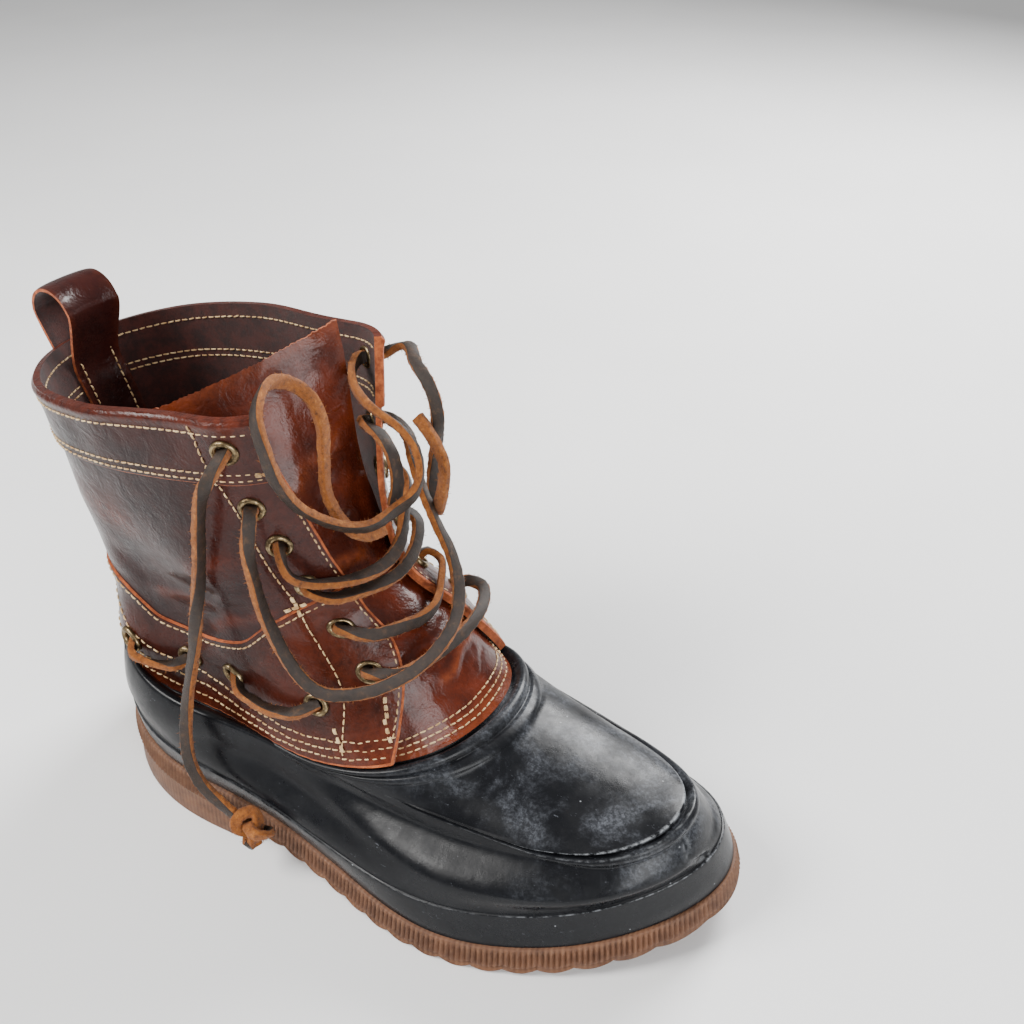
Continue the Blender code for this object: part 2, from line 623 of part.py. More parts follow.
def make_eyelets(brass):
    for side, sign in (("lateral", 1), ("medial", -1)):
        for i, (turn, v) in enumerate(LACE_EYELETS):
            make_eyelet(f"lace_eyelet_{side}_{i + 1}", sign * turn, v, brass)
        for i, (turn, v) in enumerate(SIDE_EYELETS):
            make_eyelet(f"side_eyelet_{side}_{i + 1}", sign * turn, v, brass)


# Lace

def smooth_route(points, spacing):
    """Points read at even steps from a Catmull-Rom curve through a route."""
    knots = np.asarray(points, float)
    padded = np.vstack([2 * knots[0] - knots[1], knots, 2 * knots[-1] - knots[-2]])
    fine = []
    for a, b, c, d in zip(padded, padded[1:], padded[2:], padded[3:]):
        for u in np.linspace(0, 1, 12, endpoint=False):
            fine.append(0.5 * (2 * b + (c - a) * u + (2 * a - 5 * b + 4 * c - d) * u**2
                               + (3 * b - a - 3 * c + d) * u**3))
    fine = np.array(fine + [knots[-1]])
    run = np.concatenate([[0], np.cumsum(np.linalg.norm(np.diff(fine, axis=0), axis=1))])
    count = max(4, round(run[-1] / spacing) + 1)
    even = np.linspace(0, run[-1], count)
    return np.stack([np.interp(even, run, fine[:, axis]) for axis in range(3)], -1)


def make_strand(name, points, rawhide):
    """A round strand with closed ends along a list of points."""
    curve = bpy.data.curves.new(name, "CURVE")
    curve.dimensions = "3D"
    curve.bevel_depth = LACE_DIAMETER / 2
    curve.bevel_resolution = 2
    curve.use_fill_caps = True
    line = curve.splines.new("POLY")
    line.points.add(len(points) - 1)
    for place, point in zip(line.points, points):
        place.co = (*point, 1)
    curve.materials.append(rawhide)
    made = bpy.data.objects.new(name, curve)
    bpy.context.collection.objects.link(made)


def in_metres(route):
    return np.array(route) / 1000 - np.array([HEEL_CENTRE, 0, 0])


def eyelet_way(side, turn, v, face):
    """Where a strand stands in its eyelet, and where it has come clear of it."""
    sign = 1 if side == "lateral" else -1
    if face == "in":
        levels = (-LEATHER_WALL - GAP, -LEATHER_WALL - LACE_DIAMETER)
    else:
        panel = column(PANEL_LINE, turn)
        proud = OVERLAY if v < panel or v > CUFF_LINE else 0.0
        levels = (proud + STRAND_SEAT, proud + EYELET_SEAT + EYELET_HEIGHT + LACE_DIAMETER)
    return [skin(sign * turn, v, level) for level in levels]


def make_bars(rawhide):
    for number, route in LACE_BARS.items():
        start, lead = eyelet_way("lateral", *LACE_EYELETS[number - 1], "out")
        end, trail = eyelet_way("medial", *LACE_EYELETS[number - 1], "out")
        middle = smooth_route([lead, *in_metres(route), trail], LACE_STEP)
        make_strand(f"lace_bar_{number}", [start, *middle, end], rawhide)


def make_cords(rawhide):
    for name, (origin, target, route) in LACE_CORDS.items():
        side, number, face = origin
        start, lead = eyelet_way(side, *LACE_EYELETS[number - 1], face)
        points = [lead, *in_metres(route)]
        tail = []
        if target:
            side, number, face = target
            end, trail = eyelet_way(side, *LACE_EYELETS[number - 1], face)
            points.append(trail)
            tail = [end]
        line = [start, *smooth_route(points, LACE_STEP), *tail]
        make_strand(name, line, rawhide)
        if name == "cord_end":
            make_knot(line[-1], line[-1] - line[-2], rawhide)


def make_side_laces(rawhide):
    """Short runs of thong between the side eyelets, drooping a little."""
    share = np.linspace(0, 1, 6)
    bow = 4 * share * (1 - share)
    for side, sign in (("lateral", 1), ("medial", -1)):
        for letter, first in (("a", 0), ("b", 2)):
            start_eyelet, end_eyelet = SIDE_EYELETS[first], SIDE_EYELETS[first + 1]
            start, lead = eyelet_way(side, *start_eyelet, "out")
            end, trail = eyelet_way(side, *end_eyelet, "out")
            turn = start_eyelet[0] + (end_eyelet[0] - start_eyelet[0]) * share
            v = start_eyelet[1] + (end_eyelet[1] - start_eyelet[1]) * share - SIDE_LACE_SAG * bow
            low = OVERLAY + EYELET_SEAT + EYELET_HEIGHT + LACE_DIAMETER
            middle = skin(sign * turn, v, low + SIDE_LACE_PROUD * bow)
            make_strand(f"side_lace_{side}_{letter}", [start, lead, *middle[1:-1], trail, end], rawhide)


def make_knot(tip, heading, rawhide):
    """The knot near the lace's end, as one lump of three crossed turns, just past the strand's tip."""
    maker = bmesh.new()
    radius = KNOT_SIZE / 2
    bmesh.ops.create_icosphere(maker, subdivisions=2, radius=radius)
    for vertex in maker.verts:
        swell = 1 - KNOT_WAIST * (1 - math.cos(3 * math.atan2(vertex.co.z, vertex.co.x))) / 2
        vertex.co = Vector((vertex.co.x * swell, vertex.co.y * 0.8, vertex.co.z * swell))
    centre = tip + heading / np.linalg.norm(heading) * (radius + GAP)
    bmesh.ops.translate(maker, verts=maker.verts, vec=Vector(centre))
    add_object("cord_knot", maker, rawhide)


def make_lace(rawhide):
    make_bars(rawhide)
    make_cords(rawhide)
    make_side_laces(rawhide)


def main():
    for old in list(bpy.data.objects):
        bpy.data.objects.remove(old, do_unlink=True)
    gum = material("gum_rubber", GUM, 0.7)
    rubber = material("shell_rubber", RUBBER, 0.5)
    oxblood = material("oxblood_leather", OXBLOOD, 0.35)
    chestnut = material("chestnut_leather", CHESTNUT, 0.4)
    brass = material("antique_brass", BRASS, 0.35, 1.0)
    felt = material("insole_felt", FELT, 0.9)
    rawhide = material("rawhide", RAWHIDE, 0.8)
    make_outsole(gum)
    make_shell(rubber)
    make_insole(felt)
    make_quarters(oxblood)
    make_tongue(chestnut)
    make_pull_loop(oxblood)
    make_eyelets(brass)
    make_lace(rawhide)


main()
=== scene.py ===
# %% [markdown]
# # A duck boot, piece by piece
# A duck boot is half rubber and half leather: a moulded rubber shell keeps the wet out, and a
# leather shaft is sewn to its rim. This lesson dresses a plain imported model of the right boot
# with everything that the eye looks for: ribs, beads, seams, creases, brass and rawhide.
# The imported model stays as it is. Each visible piece is made again in finer mesh in the same
# place, from the same few tables, so nothing has to be fitted afterwards.

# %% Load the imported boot
import math

import bpy
import numpy as np
from mathutils import Matrix, Vector


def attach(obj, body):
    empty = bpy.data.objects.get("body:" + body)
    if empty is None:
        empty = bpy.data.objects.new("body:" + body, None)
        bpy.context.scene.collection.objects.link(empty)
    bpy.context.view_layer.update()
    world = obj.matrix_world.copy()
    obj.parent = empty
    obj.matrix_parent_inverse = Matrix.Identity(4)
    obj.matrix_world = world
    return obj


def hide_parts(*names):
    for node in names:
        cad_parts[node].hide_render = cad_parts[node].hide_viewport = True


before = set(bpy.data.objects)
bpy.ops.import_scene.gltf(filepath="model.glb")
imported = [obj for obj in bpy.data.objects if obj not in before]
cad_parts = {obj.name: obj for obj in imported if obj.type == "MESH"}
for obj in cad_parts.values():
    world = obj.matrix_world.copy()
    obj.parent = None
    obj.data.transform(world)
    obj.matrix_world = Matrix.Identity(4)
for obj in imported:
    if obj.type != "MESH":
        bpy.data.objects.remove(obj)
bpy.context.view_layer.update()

# %% [markdown]
# ## The camera
# The photograph was taken from above the outer side, looking back over the toe. A camera could be
# aimed with a Track To constraint, but the tilt of the horizon would be lost, so the three
# axes are worked out from the angles: round the boot, above the floor, and the small roll.

# %% Place the camera
CAMERA_ROUND = math.radians(33.0275)
CAMERA_ABOVE = math.radians(35.8861)
CAMERA_ROLL = math.radians(-0.8252)
CAMERA_PLACE = Vector((0.33458, -0.26944, 0.41621))
LENS_MM = 40.252
SENSOR_MM = 36.0


def camera_axes(around, above, roll):
    """Right, up and back of a camera, rolled about its own line of sight."""
    back = Vector((math.cos(above) * math.sin(around), -math.cos(above) * math.cos(around), math.sin(above)))
    level = Vector((math.cos(around), math.sin(around), 0.0))
    upright = back.cross(level)
    right = level * math.cos(roll) + upright * math.sin(roll)
    return right, back.cross(right), back


right, up, back = camera_axes(CAMERA_ROUND, CAMERA_ABOVE, CAMERA_ROLL)
camera = bpy.data.objects.new("camera", bpy.data.cameras.new("camera"))
camera.data.lens = LENS_MM
camera.data.sensor_width = SENSOR_MM
camera.data.clip_start = 0.01
camera.matrix_world = Matrix((right, up, back)).transposed().to_4x4()
camera.location = CAMERA_PLACE
bpy.context.scene.collection.objects.link(camera)
bpy.context.scene.camera = camera
print("camera at", tuple(round(c, 3) for c in CAMERA_PLACE), "lens", LENS_MM)

# %% [markdown]
# ## The last
# A shoemaker's last is the wooden foot that a boot is built round. Ours is a table: one row for
# each level from the sole's edge to the collar, holding the level's length, heights and
# widths. Two numbers then name any place on the boot. The turn goes round it: 0 is the back,
# 0.25 the outer side, 0.5 the front, and negative turns are the inner side. The level climbs
# from 0 at the sole to 1 at the collar. A sculpted mesh could hold the same form, but seams and
# creases are far easier to draw on a surface that answers to a turn and a level.

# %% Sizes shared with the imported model
SHELL_LENGTH = 0.298
BALL_WIDTH = 0.116
SHAFT_HEIGHT = 0.213
HEEL_CENTRE = 0.050         # from the back of the shell to the origin
GAP = 0.0003
RUBBER_WALL = 0.0026
LEATHER_WALL = 0.0022
OVERLAY = 0.0012
TONGUE_WALL = 0.0018
TONGUE_LAY = 0.0006
FLANGE_WALL = 0.0014
INSOLE_WALL = 0.0030
ORIGIN_SHIFT = np.array([HEEL_CENTRE, 0, 0])

LAST_COLUMNS = ("v", "back", "front", "back_z", "front_z", "rise", "sag", "follow",
                "heel_round", "heel", "waist", "ball", "toe_round", "mid_waist", "mid_ball", "mid_toe")
LAST_ROWS = (
    (0.00, 0.010, 1.000, 0.000, 0.000, 1.0, 0.000, 1.00,
     0.690, 0.440, 0.390, 0.503, 0.600, -0.075, 0.010, 0.160),
    (0.06, 0.003, 0.983, 0.071, 0.086, 1.0, 0.017, 1.00,
     0.650, 0.443, 0.414, 0.485, 0.576, -0.075, 0.011, 0.136),
    (0.14, 0.011, 0.975, 0.146, 0.116, 1.0, 0.005, 1.00,
     0.628, 0.469, 0.370, 0.459, 0.587, -0.056, 0.002, 0.078),
    (0.24, 0.018, 0.949, 0.232, 0.181, 1.0, 0.034, 0.95,
     0.607, 0.441, 0.357, 0.354, 0.484, -0.056, 0.016, 0.072),
    (0.42, 0.041, 0.665, 0.312, 0.323, 2.2, 0.102, 0.50,
     0.621, 0.382, 0.379, 0.407, 0.609, -0.010, 0.016, 0.058),
    (0.54, 0.052, 0.574, 0.373, 0.466, 1.6, 0.053, 0.30,
     0.521, 0.389, 0.345, 0.372, 0.484, -0.010, 0.029, 0.061),
    (0.66, 0.045, 0.500, 0.484, 0.565, 1.3, 0.026, 0.15,
     0.428, 0.334, 0.354, 0.344, 0.410, 0.000, 0.019, 0.028),
    (0.83, 0.014, 0.472, 0.648, 0.705, 1.1, 0.010, 0.05,
     0.424, 0.320, 0.392, 0.382, 0.428, 0.000, 0.010, 0.010),
    (1.00, -0.044, 0.453, 0.900, 1.000, 1.0, -0.012, 0.00,
     0.430, 0.300, 0.431, 0.383, 0.658, 0.000, 0.016, 0.029),
)
WIDTH_STATIONS = (0.0, 0.13, 0.42, 0.72, 1.0)
SOLE_LINE = ((0.0, 0.1325), (0.30, 0.1213), (0.50, 0.0726), (0.68, 0.0560), (0.85, 0.0714), (1.0, 0.1195))

# %% Curves through tables


def smooth(knots, values, at):
    """Monotone cubic through a table, which never overshoots."""
    knots = np.asarray(knots, float)
    values = np.asarray(values, float)
    at = np.clip(at, knots[0], knots[-1])
    step = np.diff(knots)
    tall = (len(step),) + (1,) * (values.ndim - 1)
    slope = np.diff(values, axis=0) / step.reshape(tall)
    tangent = np.zeros_like(values)
    tangent[0] = slope[0]
    tangent[-1] = slope[-1]
    for i in range(1, len(knots) - 1):
        before = 2 * step[i] + step[i - 1]
        after = step[i] + 2 * step[i - 1]
        same = slope[i - 1] * slope[i] > 0
        safe_a = np.where(same, slope[i - 1], 1)
        safe_b = np.where(same, slope[i], 1)
        tangent[i] = np.where(same, (before + after) / (before / safe_a + after / safe_b), 0)
    cell = np.clip(np.searchsorted(knots, at, side="right") - 1, 0, len(step) - 1)
    u = (at - knots[cell]) / step[cell]
    width = step[cell]
    if values.ndim > 1:
        u = u[..., None]
        width = width[..., None]
    return hermite(u, width, values[cell], values[cell + 1], tangent[cell], tangent[cell + 1])


def hermite(u, width, start, end, start_slope, end_slope):
    """Cubic between two values with the slopes given at both ends."""
    return ((2 * u**3 - 3 * u**2 + 1) * start + (u**3 - 2 * u**2 + u) * width * start_slope
            + (3 * u**2 - 2 * u**3) * end + (u**3 - u**2) * width * end_slope)


def along(share, values):
    """Cubic through the five width stations of a level."""
    result = np.zeros(share.shape)
    last = len(WIDTH_STATIONS) - 1
    slopes = []
    for i in range(last + 1):
        a = max(i - 1, 0)
        b = min(i + 1, last)
        slopes.append((values[b] - values[a]) / (WIDTH_STATIONS[b] - WIDTH_STATIONS[a]))
    for i in range(last):
        low = WIDTH_STATIONS[i]
        high = WIDTH_STATIONS[i + 1]
        piece = hermite((share - low) / (high - low), high - low, values[i], values[i + 1],
                        slopes[i], slopes[i + 1])
        result = np.where((share >= low) & (share <= high), piece, result)
    return result


def column(pairs, at):
    """Reads a two-column table."""
    return smooth([p[0] for p in pairs], [p[1] for p in pairs], at)


def sole_top(x):
    """Height of the sole's top face, x measured from the shell's back."""
    return SHAFT_HEIGHT * column(SOLE_LINE, x / SHELL_LENGTH)


print("level rows:", len(LAST_ROWS))

# %% The surface of the last
LAST_LEVELS = [row[0] for row in LAST_ROWS]
LAST_VALUES = [row[1:] for row in LAST_ROWS]
SAG_LEAN = 0.3              # how much less the dip is towards the front
ROUND_NAMES = ("heel_round", "heel", "waist", "ball", "toe_round")
ROUND_SHARES = [1.0] + [2 * math.sqrt(k * (1 - k)) for k in WIDTH_STATIONS[1:4]] + [1.0]


def level_point(turn, v):
    """Point of the last, for levels 0 to 1."""
    rows = smooth(LAST_LEVELS, LAST_VALUES, v)
    value = {name: rows[..., i] for i, name in enumerate(LAST_COLUMNS[1:])}
    angle = 2 * math.pi * turn
    share = (1 - np.cos(angle)) / 2
    widths = [value[name] / k for name, k in zip(ROUND_NAMES, ROUND_SHARES)]
    zero = np.zeros(share.shape)
    middle = along(share, [zero, zero, value["mid_waist"], value["mid_ball"], value["mid_toe"]])
    x = (value["back"] + (value["front"] - value["back"]) * share) * SHELL_LENGTH
    y = (middle - np.sin(angle) * along(share, widths)) * BALL_WIDTH
    climb = value["back_z"] + (value["front_z"] - value["back_z"]) * share ** value["rise"]
    dip = value["sag"] * 4 * share * (1 - share) * (1 - SAG_LEAN * share)
    z = (climb - dip) * SHAFT_HEIGHT + value["follow"] * sole_top(x)
    return np.stack([x, y, z], -1)


def last_point(turn, v):
    """Point of the last; above the collar it carries straight on."""
    turn, v = np.broadcast_arrays(np.asarray(turn, float), np.asarray(v, float))
    inside = np.clip(v, 0, 1)
    point = level_point(turn, inside)
    small = 0.01
    rise = (level_point(turn, np.full(v.shape, 1.0)) - level_point(turn, np.full(v.shape, 1 - small))) / small
    return point + rise * (v - inside)[..., None]


def last_normal(turn, v):
    """Outward direction of the last."""
    turn, v = np.broadcast_arrays(np.asarray(turn, float), np.asarray(v, float))
    small = 0.002
    across = last_point(turn + small, v) - last_point(turn - small, v)
    upward = last_point(turn, v + small) - last_point(turn, np.maximum(v - small, 0))
    normal = np.cross(across, upward)
    return normal / np.linalg.norm(normal, axis=-1, keepdims=True)


def skin(turn, v, proud):
    """Point standing proud of the last, in the part's frame."""
    point = last_point(turn, v) + last_normal(turn, v) * np.asarray(proud)[..., None]
    return point - ORIGIN_SHIFT


def speeds(turn, v):
    """Metres that the surface runs for one turn and for one level."""
    small = 0.002
    across = last_point(turn + small, v) - last_point(turn - small, v)
    upward = last_point(turn, v + small) - last_point(turn, v - small)
    return np.linalg.norm(across, axis=-1) / (2 * small), np.linalg.norm(upward, axis=-1) / (2 * small)


def raised(turn, v, distance):
    """The level that lies a distance in metres above a level."""
    return v + distance / speeds(turn, v)[1]


print("toe tip of the last:", skin(0.5, 0.0, 0.0).round(4))

# %% [markdown]
# ## Meshes from grids
# Leather and rubber are sheets with two faces and an edge. The edge is worth its own finish,
# because a cut leather edge shows raw fibre. One helper takes a grid of points for the outside
# and one for the inside, leaves out the cells where a hole is punched, and walls every open
# edge. Solidify could thicken a sheet too, but it can't give the wall a different thickness or
# finish from place to place.

# %% Grid helpers


def add_piece(name, points, faces, finishes, face_finish=None, fields=None, sharp=50, nodes=()):
    """Makes a mesh object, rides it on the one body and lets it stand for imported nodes."""
    mesh = bpy.data.meshes.new(name)
    mesh.from_pydata([tuple(p) for p in points], [], [tuple(int(i) for i in f) for f in faces])
    for finish in finishes:
        mesh.materials.append(finish)
    if face_finish is not None:
        mesh.polygons.foreach_set("material_index", np.asarray(face_finish, np.int32))
    for field, values in (fields or {}).items():
        layer = mesh.attributes.new(field, "FLOAT", "POINT")
        layer.data.foreach_set("value", np.asarray(values, np.float32))
    mesh.shade_smooth()
    mesh.set_sharp_from_angle(angle=math.radians(sharp))
    made = bpy.data.objects.new(name, mesh)
    bpy.context.scene.collection.objects.link(made)
    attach(made, "root")
    if nodes:
        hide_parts(*nodes)
    return made


def ring_quads(index):
    """Quads between the rows of a grid of point numbers whose rows close on themselves."""
    after = np.roll(index, -1, axis=1)
    return np.stack([index[:-1], after[:-1], after[1:], index[1:]], -1).reshape(-1, 4)


def cell_edges(keep, wrap):
    """For each of a cell's four sides, the cells that have no neighbour there."""
    below = np.zeros_like(keep)
    below[1:] = keep[:-1]
    above = np.zeros_like(keep)
    above[:-1] = keep[1:]
    before = np.roll(keep, 1, axis=1)
    after = np.roll(keep, -1, axis=1)
    if not wrap:
        before[:, 0] = False
        after[:, -1] = False
    return [keep & ~side for side in (below, after, above, before)]


TOP_SIDE = 2                # number of a cell's upper side in cell_edges
EDGE_FINISH = 2             # place of the cut edge's finish in a sheet's list


def sheet_faces(rows, columns, wrap, keep):
    """Faces of the outside, the inside and the edges between them, and the side of each edge face."""
    outside = np.arange(rows * columns).reshape(rows, columns)
    wide = columns if wrap else columns - 1
    here = outside[:, :wide]
    there = np.roll(outside, -1, axis=1)[:, :wide]
    corners = [here[:-1], there[:-1], there[1:], here[1:]]
    near = np.stack([c[keep] for c in corners], -1)
    shift = rows * columns
    far = near[:, ::-1] + shift
    rims = []
    sides = []
    for side, open_cells in enumerate(cell_edges(keep, wrap)):
        first = corners[side][open_cells]
        second = corners[(side + 1) % 4][open_cells]
        rims.append(np.stack([second, first, first + shift, second + shift], -1))
        sides.append(np.full(len(first), side))
    return near, far, np.concatenate(rims), np.concatenate(sides)


def walled_piece(name, outer, inner, finishes, nodes=(), wrap=False, keep=None, cell_finish=None,
                 fields=None, sharp=50, top_finish=EDGE_FINISH):
    """A wall between two grids. Finishes are for the outside, the inside and the cut edge."""
    rows, columns = outer.shape[:2]
    wide = columns if wrap else columns - 1
    if keep is None:
        keep = np.ones((rows - 1, wide), bool)
    near, far, rim, rim_side = sheet_faces(rows, columns, wrap, keep)
    outside_finish = np.zeros(len(near), int) if cell_finish is None else cell_finish[keep]
    rim_finish = np.where(rim_side == TOP_SIDE, top_finish, EDGE_FINISH)
    which = np.concatenate([outside_finish, np.full(len(far), 1), rim_finish])
    faces = np.concatenate([near, far, rim])
    points = np.concatenate([outer.reshape(-1, 3), inner.reshape(-1, 3)])
    used, packed = np.unique(faces, return_inverse=True)
    both = {}
    for field, values in (fields or {}).items():
        doubled = np.concatenate([values.reshape(-1), values.reshape(-1)])
        both[field] = doubled[used]
    return add_piece(name, points[used], packed.reshape(faces.shape), finishes, which, both, sharp, nodes)


def ramp(low, high, at):
    """0 below low, 1 above high, smooth between."""
    u = np.clip((at - low) / (high - low), 0, 1)
    return u * u * (3 - 2 * u)


def mound(distance, width):
    """1 on a line, falling softly to 0 a few widths away."""
    return np.exp(-(distance / width) ** 2)


def catmull(points, parts):
    """Points of a Catmull-Rom curve through a route."""
    knots = np.asarray(points, float)
    padded = np.vstack([2 * knots[0] - knots[1], knots, 2 * knots[-1] - knots[-2]])
    fine = []
    for a, b, c, d in zip(padded, padded[1:], padded[2:], padded[3:]):
        for u in np.linspace(0, 1, parts, endpoint=False):
            fine.append(0.5 * (2 * b + (c - a) * u + (2 * a - 5 * b + 4 * c - d) * u**2
                               + (3 * b - a - 3 * c + d) * u**3))
    return np.array(fine + [knots[-1]])


def lengths(points):
    """Distance run at each point of a line."""
    return np.concatenate([[0], np.cumsum(np.linalg.norm(np.diff(points, axis=0), axis=1))])


def even_points(points, spacing):
    """A line's points read again at even steps."""
    run = lengths(points)
    count = max(4, round(run[-1] / spacing) + 1)
    even = np.linspace(0, run[-1], count)
    return np.stack([np.interp(even, run, points[:, axis]) for axis in range(points.shape[1])], -1)


def follow(knots, spacing):
    """Turns and levels at even steps on the boot along a curve drawn through (turn, level) knots."""
    fine = catmull(knots, 16)
    run = lengths(last_point(fine[:, 0], fine[:, 1]))
    count = max(3, round(run[-1] / spacing) + 1)
    even = np.linspace(0, run[-1], count)
    return np.interp(even, run, fine[:, 0]), np.interp(even, run, fine[:, 1])


def distance_to(places, line):
    """Shortest distance from each place to a line's points."""
    flat = places.reshape(-1, 3)
    best = np.empty(len(flat))
    block = 4000
    for start in range(0, len(flat), block):
        part = flat[start:start + block]
        best[start:start + block] = np.linalg.norm(part[:, None] - line[None], axis=-1).min(1)
    return best.reshape(places.shape[:-1])


print("grid helpers ready")

# %% [markdown]
# ## Finishes
# Every finish is a small tree of nodes: a colour that varies softly, a bump for the grain, and a
# gloss. The trees read the object's own coordinates, so a grain is sized in metres and stays put
# from every side. Image textures would be quicker to paint, but they need unwrapped meshes and
# files. Where wear follows the shape, such as pale scuffs on a ridge, or a painted highlight does,
# as on the shell's upward faces and the sole's rib crests, the mesh code writes a number on each
# vertex, and the tree reads that number by name.

# %% Node helpers


def tint(red, green, blue):
    """A colour given as the eye reads it, 0 to 255, turned into light."""
    light = []
    for part in (red, green, blue):
        share = part / 255
        light.append(share / 12.92 if share <= 0.04045 else ((share + 0.055) / 1.055) ** 2.4)
    return (*light, 1.0)


def new_finish(name, colour, roughness, metallic=0.0, specular=0.5, coat=0.0, coat_roughness=0.1, sheen=0.0):
    """A material with a Principled shader whose steady values stand on its own sockets."""
    made = bpy.data.materials.new(name)
    made.use_nodes = True
    tree = made.node_tree
    shader = tree.nodes["Principled BSDF"]
    shader.inputs["Base Color"].default_value = colour
    shader.inputs["Roughness"].default_value = roughness
    shader.inputs["Metallic"].default_value = metallic
    shader.inputs["Specular IOR Level"].default_value = specular
    shader.inputs["Coat Weight"].default_value = coat
    shader.inputs["Coat Roughness"].default_value = coat_roughness
    shader.inputs["Sheen Weight"].default_value = sheen
    return made, tree, shader


def place_node(tree, stretch=(1, 1, 1)):
    """The object's own coordinates, stretched where a grain runs one way."""
    where = tree.nodes.new("ShaderNodeTexCoord")
    if stretch == (1, 1, 1):
        return where.outputs["Object"]
    mapping = tree.nodes.new("ShaderNodeMapping")
    mapping.inputs["Scale"].default_value = stretch
    tree.links.new(where.outputs["Object"], mapping.inputs["Vector"])
    return mapping.outputs["Vector"]


def noise(tree, where, size, detail=4.0, roughness=0.6, distortion=0.0):
    """Cloudy noise whose patches are about as wide as size, in metres."""
    node = tree.nodes.new("ShaderNodeTexNoise")
    node.inputs["Scale"].default_value = 1 / size
    node.inputs["Detail"].default_value = detail
    node.inputs["Roughness"].default_value = roughness
    node.inputs["Distortion"].default_value = distortion
    tree.links.new(where, node.inputs["Vector"])
    return node.outputs["Fac"]


def cells(tree, where, size, feature="F1"):
    """Cell pattern with cells about as wide as size, in metres."""
    node = tree.nodes.new("ShaderNodeTexVoronoi")
    node.feature = feature
    node.inputs["Scale"].default_value = 1 / size
    tree.links.new(where, node.inputs["Vector"])
    return node.outputs["Distance"]


def stretch_range(tree, value, low, high, out_low=0.0, out_high=1.0):
    """Maps a range of a value to another, smoothly, and holds it beyond the ends."""
    node = tree.nodes.new("ShaderNodeMapRange")
    node.interpolation_type = "SMOOTHSTEP"
    tree.links.new(value, node.inputs["Value"])
    node.inputs["From Min"].default_value = low
    node.inputs["From Max"].default_value = high
    node.inputs["To Min"].default_value = out_low
    node.inputs["To Max"].default_value = out_high
    return node.outputs["Result"]


def combine(tree, operation, first, second):
    """Sum, product or the like of two values, either of them a plain number."""
    node = tree.nodes.new("ShaderNodeMath")
    node.operation = operation
    for socket, value in zip(node.inputs, (first, second)):
        if isinstance(value, (int, float)):
            socket.default_value = value
        else:
            tree.links.new(value, socket)
    return node.outputs["Value"]


def blend_colours(tree, share, first, second):
    """A colour between two, by a share that may vary."""
    node = tree.nodes.new("ShaderNodeMix")
    node.data_type = "RGBA"
    tree.links.new(share, node.inputs["Factor"])
    for socket, value in ((node.inputs[6], first), (node.inputs[7], second)):
        if isinstance(value, tuple):
            socket.default_value = value
        else:
            tree.links.new(value, socket)
    return node.outputs[2]


def vertex_number(tree, name):
    """A number that the mesh code wrote on each vertex."""
    node = tree.nodes.new("ShaderNodeAttribute")
    node.attribute_name = name
    return node.outputs["Fac"]


def relief(tree, height, depth, strength=1.0, under=None):
    """Bump from a height that runs 0 to 1, for a real depth in metres."""
    node = tree.nodes.new("ShaderNodeBump")
    node.inputs["Strength"].default_value = strength
    node.inputs["Distance"].default_value = depth
    tree.links.new(height, node.inputs["Height"])
    if under is not None:
        tree.links.new(under, node.inputs["Normal"])
    return node.outputs["Normal"]


def wire(tree, shader, colour=None, roughness=None, normal=None):
    """Joins what varies to the shader."""
    for socket, value in (("Base Color", colour), ("Roughness", roughness), ("Normal", normal)):
        if value is not None:
            tree.links.new(value, shader.inputs[socket])


print("node helpers ready")

# %% [markdown]
# ## Waxed leather
# The shaft is oiled pull-up leather: nearly black oxblood where it is full of wax, redder where it
# has been bent and rubbed. Its grain is a net of tiny cells, with long soft wrinkles over it, and
# a thin wax coat gives the broad highlight. One function makes it in several shades, because the
# shaft, the panel, the vamp and the strap are cut from different parts of the hide.

# %% Leather
GRAIN_SIZE = 0.0011
WRINKLE_SIZE = 0.009
MOTTLE_SIZE = 0.022


def leather_finish(name, deep, warm, worn, roughness, coat, grain=0.00009):
    """Waxed leather in a deep and a warm shade, with a worn shade where the mesh says so."""
    made, tree, shader = new_finish(name, deep, roughness, specular=0.17, coat=coat, coat_roughness=0.08)
    where = place_node(tree)
    patches = stretch_range(tree, noise(tree, where, MOTTLE_SIZE, 6.0, 0.62), 0.36, 0.66)
    fine = noise(tree, where, 0.0032, 5.0, 0.7)
    body = blend_colours(tree, patches, deep, warm)
    streaks = stretch_range(tree, fine, 0.52, 0.75, 0.0, 0.5)
    body = blend_colours(tree, streaks, body, warm)
    wear = stretch_range(tree, fine, 0.30, 0.62, 0.35, 1.0)
    wear = combine(tree, "MULTIPLY", vertex_number(tree, "wear"), wear)
    body = blend_colours(tree, wear, body, worn)
    wrinkles = noise(tree, where, WRINKLE_SIZE, 5.0, 0.55, 1.2)
    pores = cells(tree, where, GRAIN_SIZE)
    normal = relief(tree, wrinkles, 0.0011, 0.55)
    normal = relief(tree, pores, grain, 0.8, normal)
    gloss = noise(tree, where, 0.012, 5.0, 0.6)
    gloss = stretch_range(tree, gloss, 0.3, 0.7, roughness - 0.07, roughness + 0.10)
    wire(tree, shader, body, gloss, normal)
    return made


OXBLOOD = leather_finish("oxblood_leather", tint(24, 10, 11), tint(43, 17, 14), tint(92, 39, 24), 0.29, 0.12)
PANEL = leather_finish("panel_leather", tint(30, 12, 9), tint(57, 21, 13), tint(108, 47, 25), 0.29, 0.12)
VAMP = leather_finish("vamp_leather", tint(56, 20, 11), tint(92, 36, 19), tint(134, 64, 34), 0.27, 0.16)
STRAP = leather_finish("strap_leather", tint(24, 12, 13), tint(44, 18, 17), tint(82, 35, 22), 0.25, 0.25)

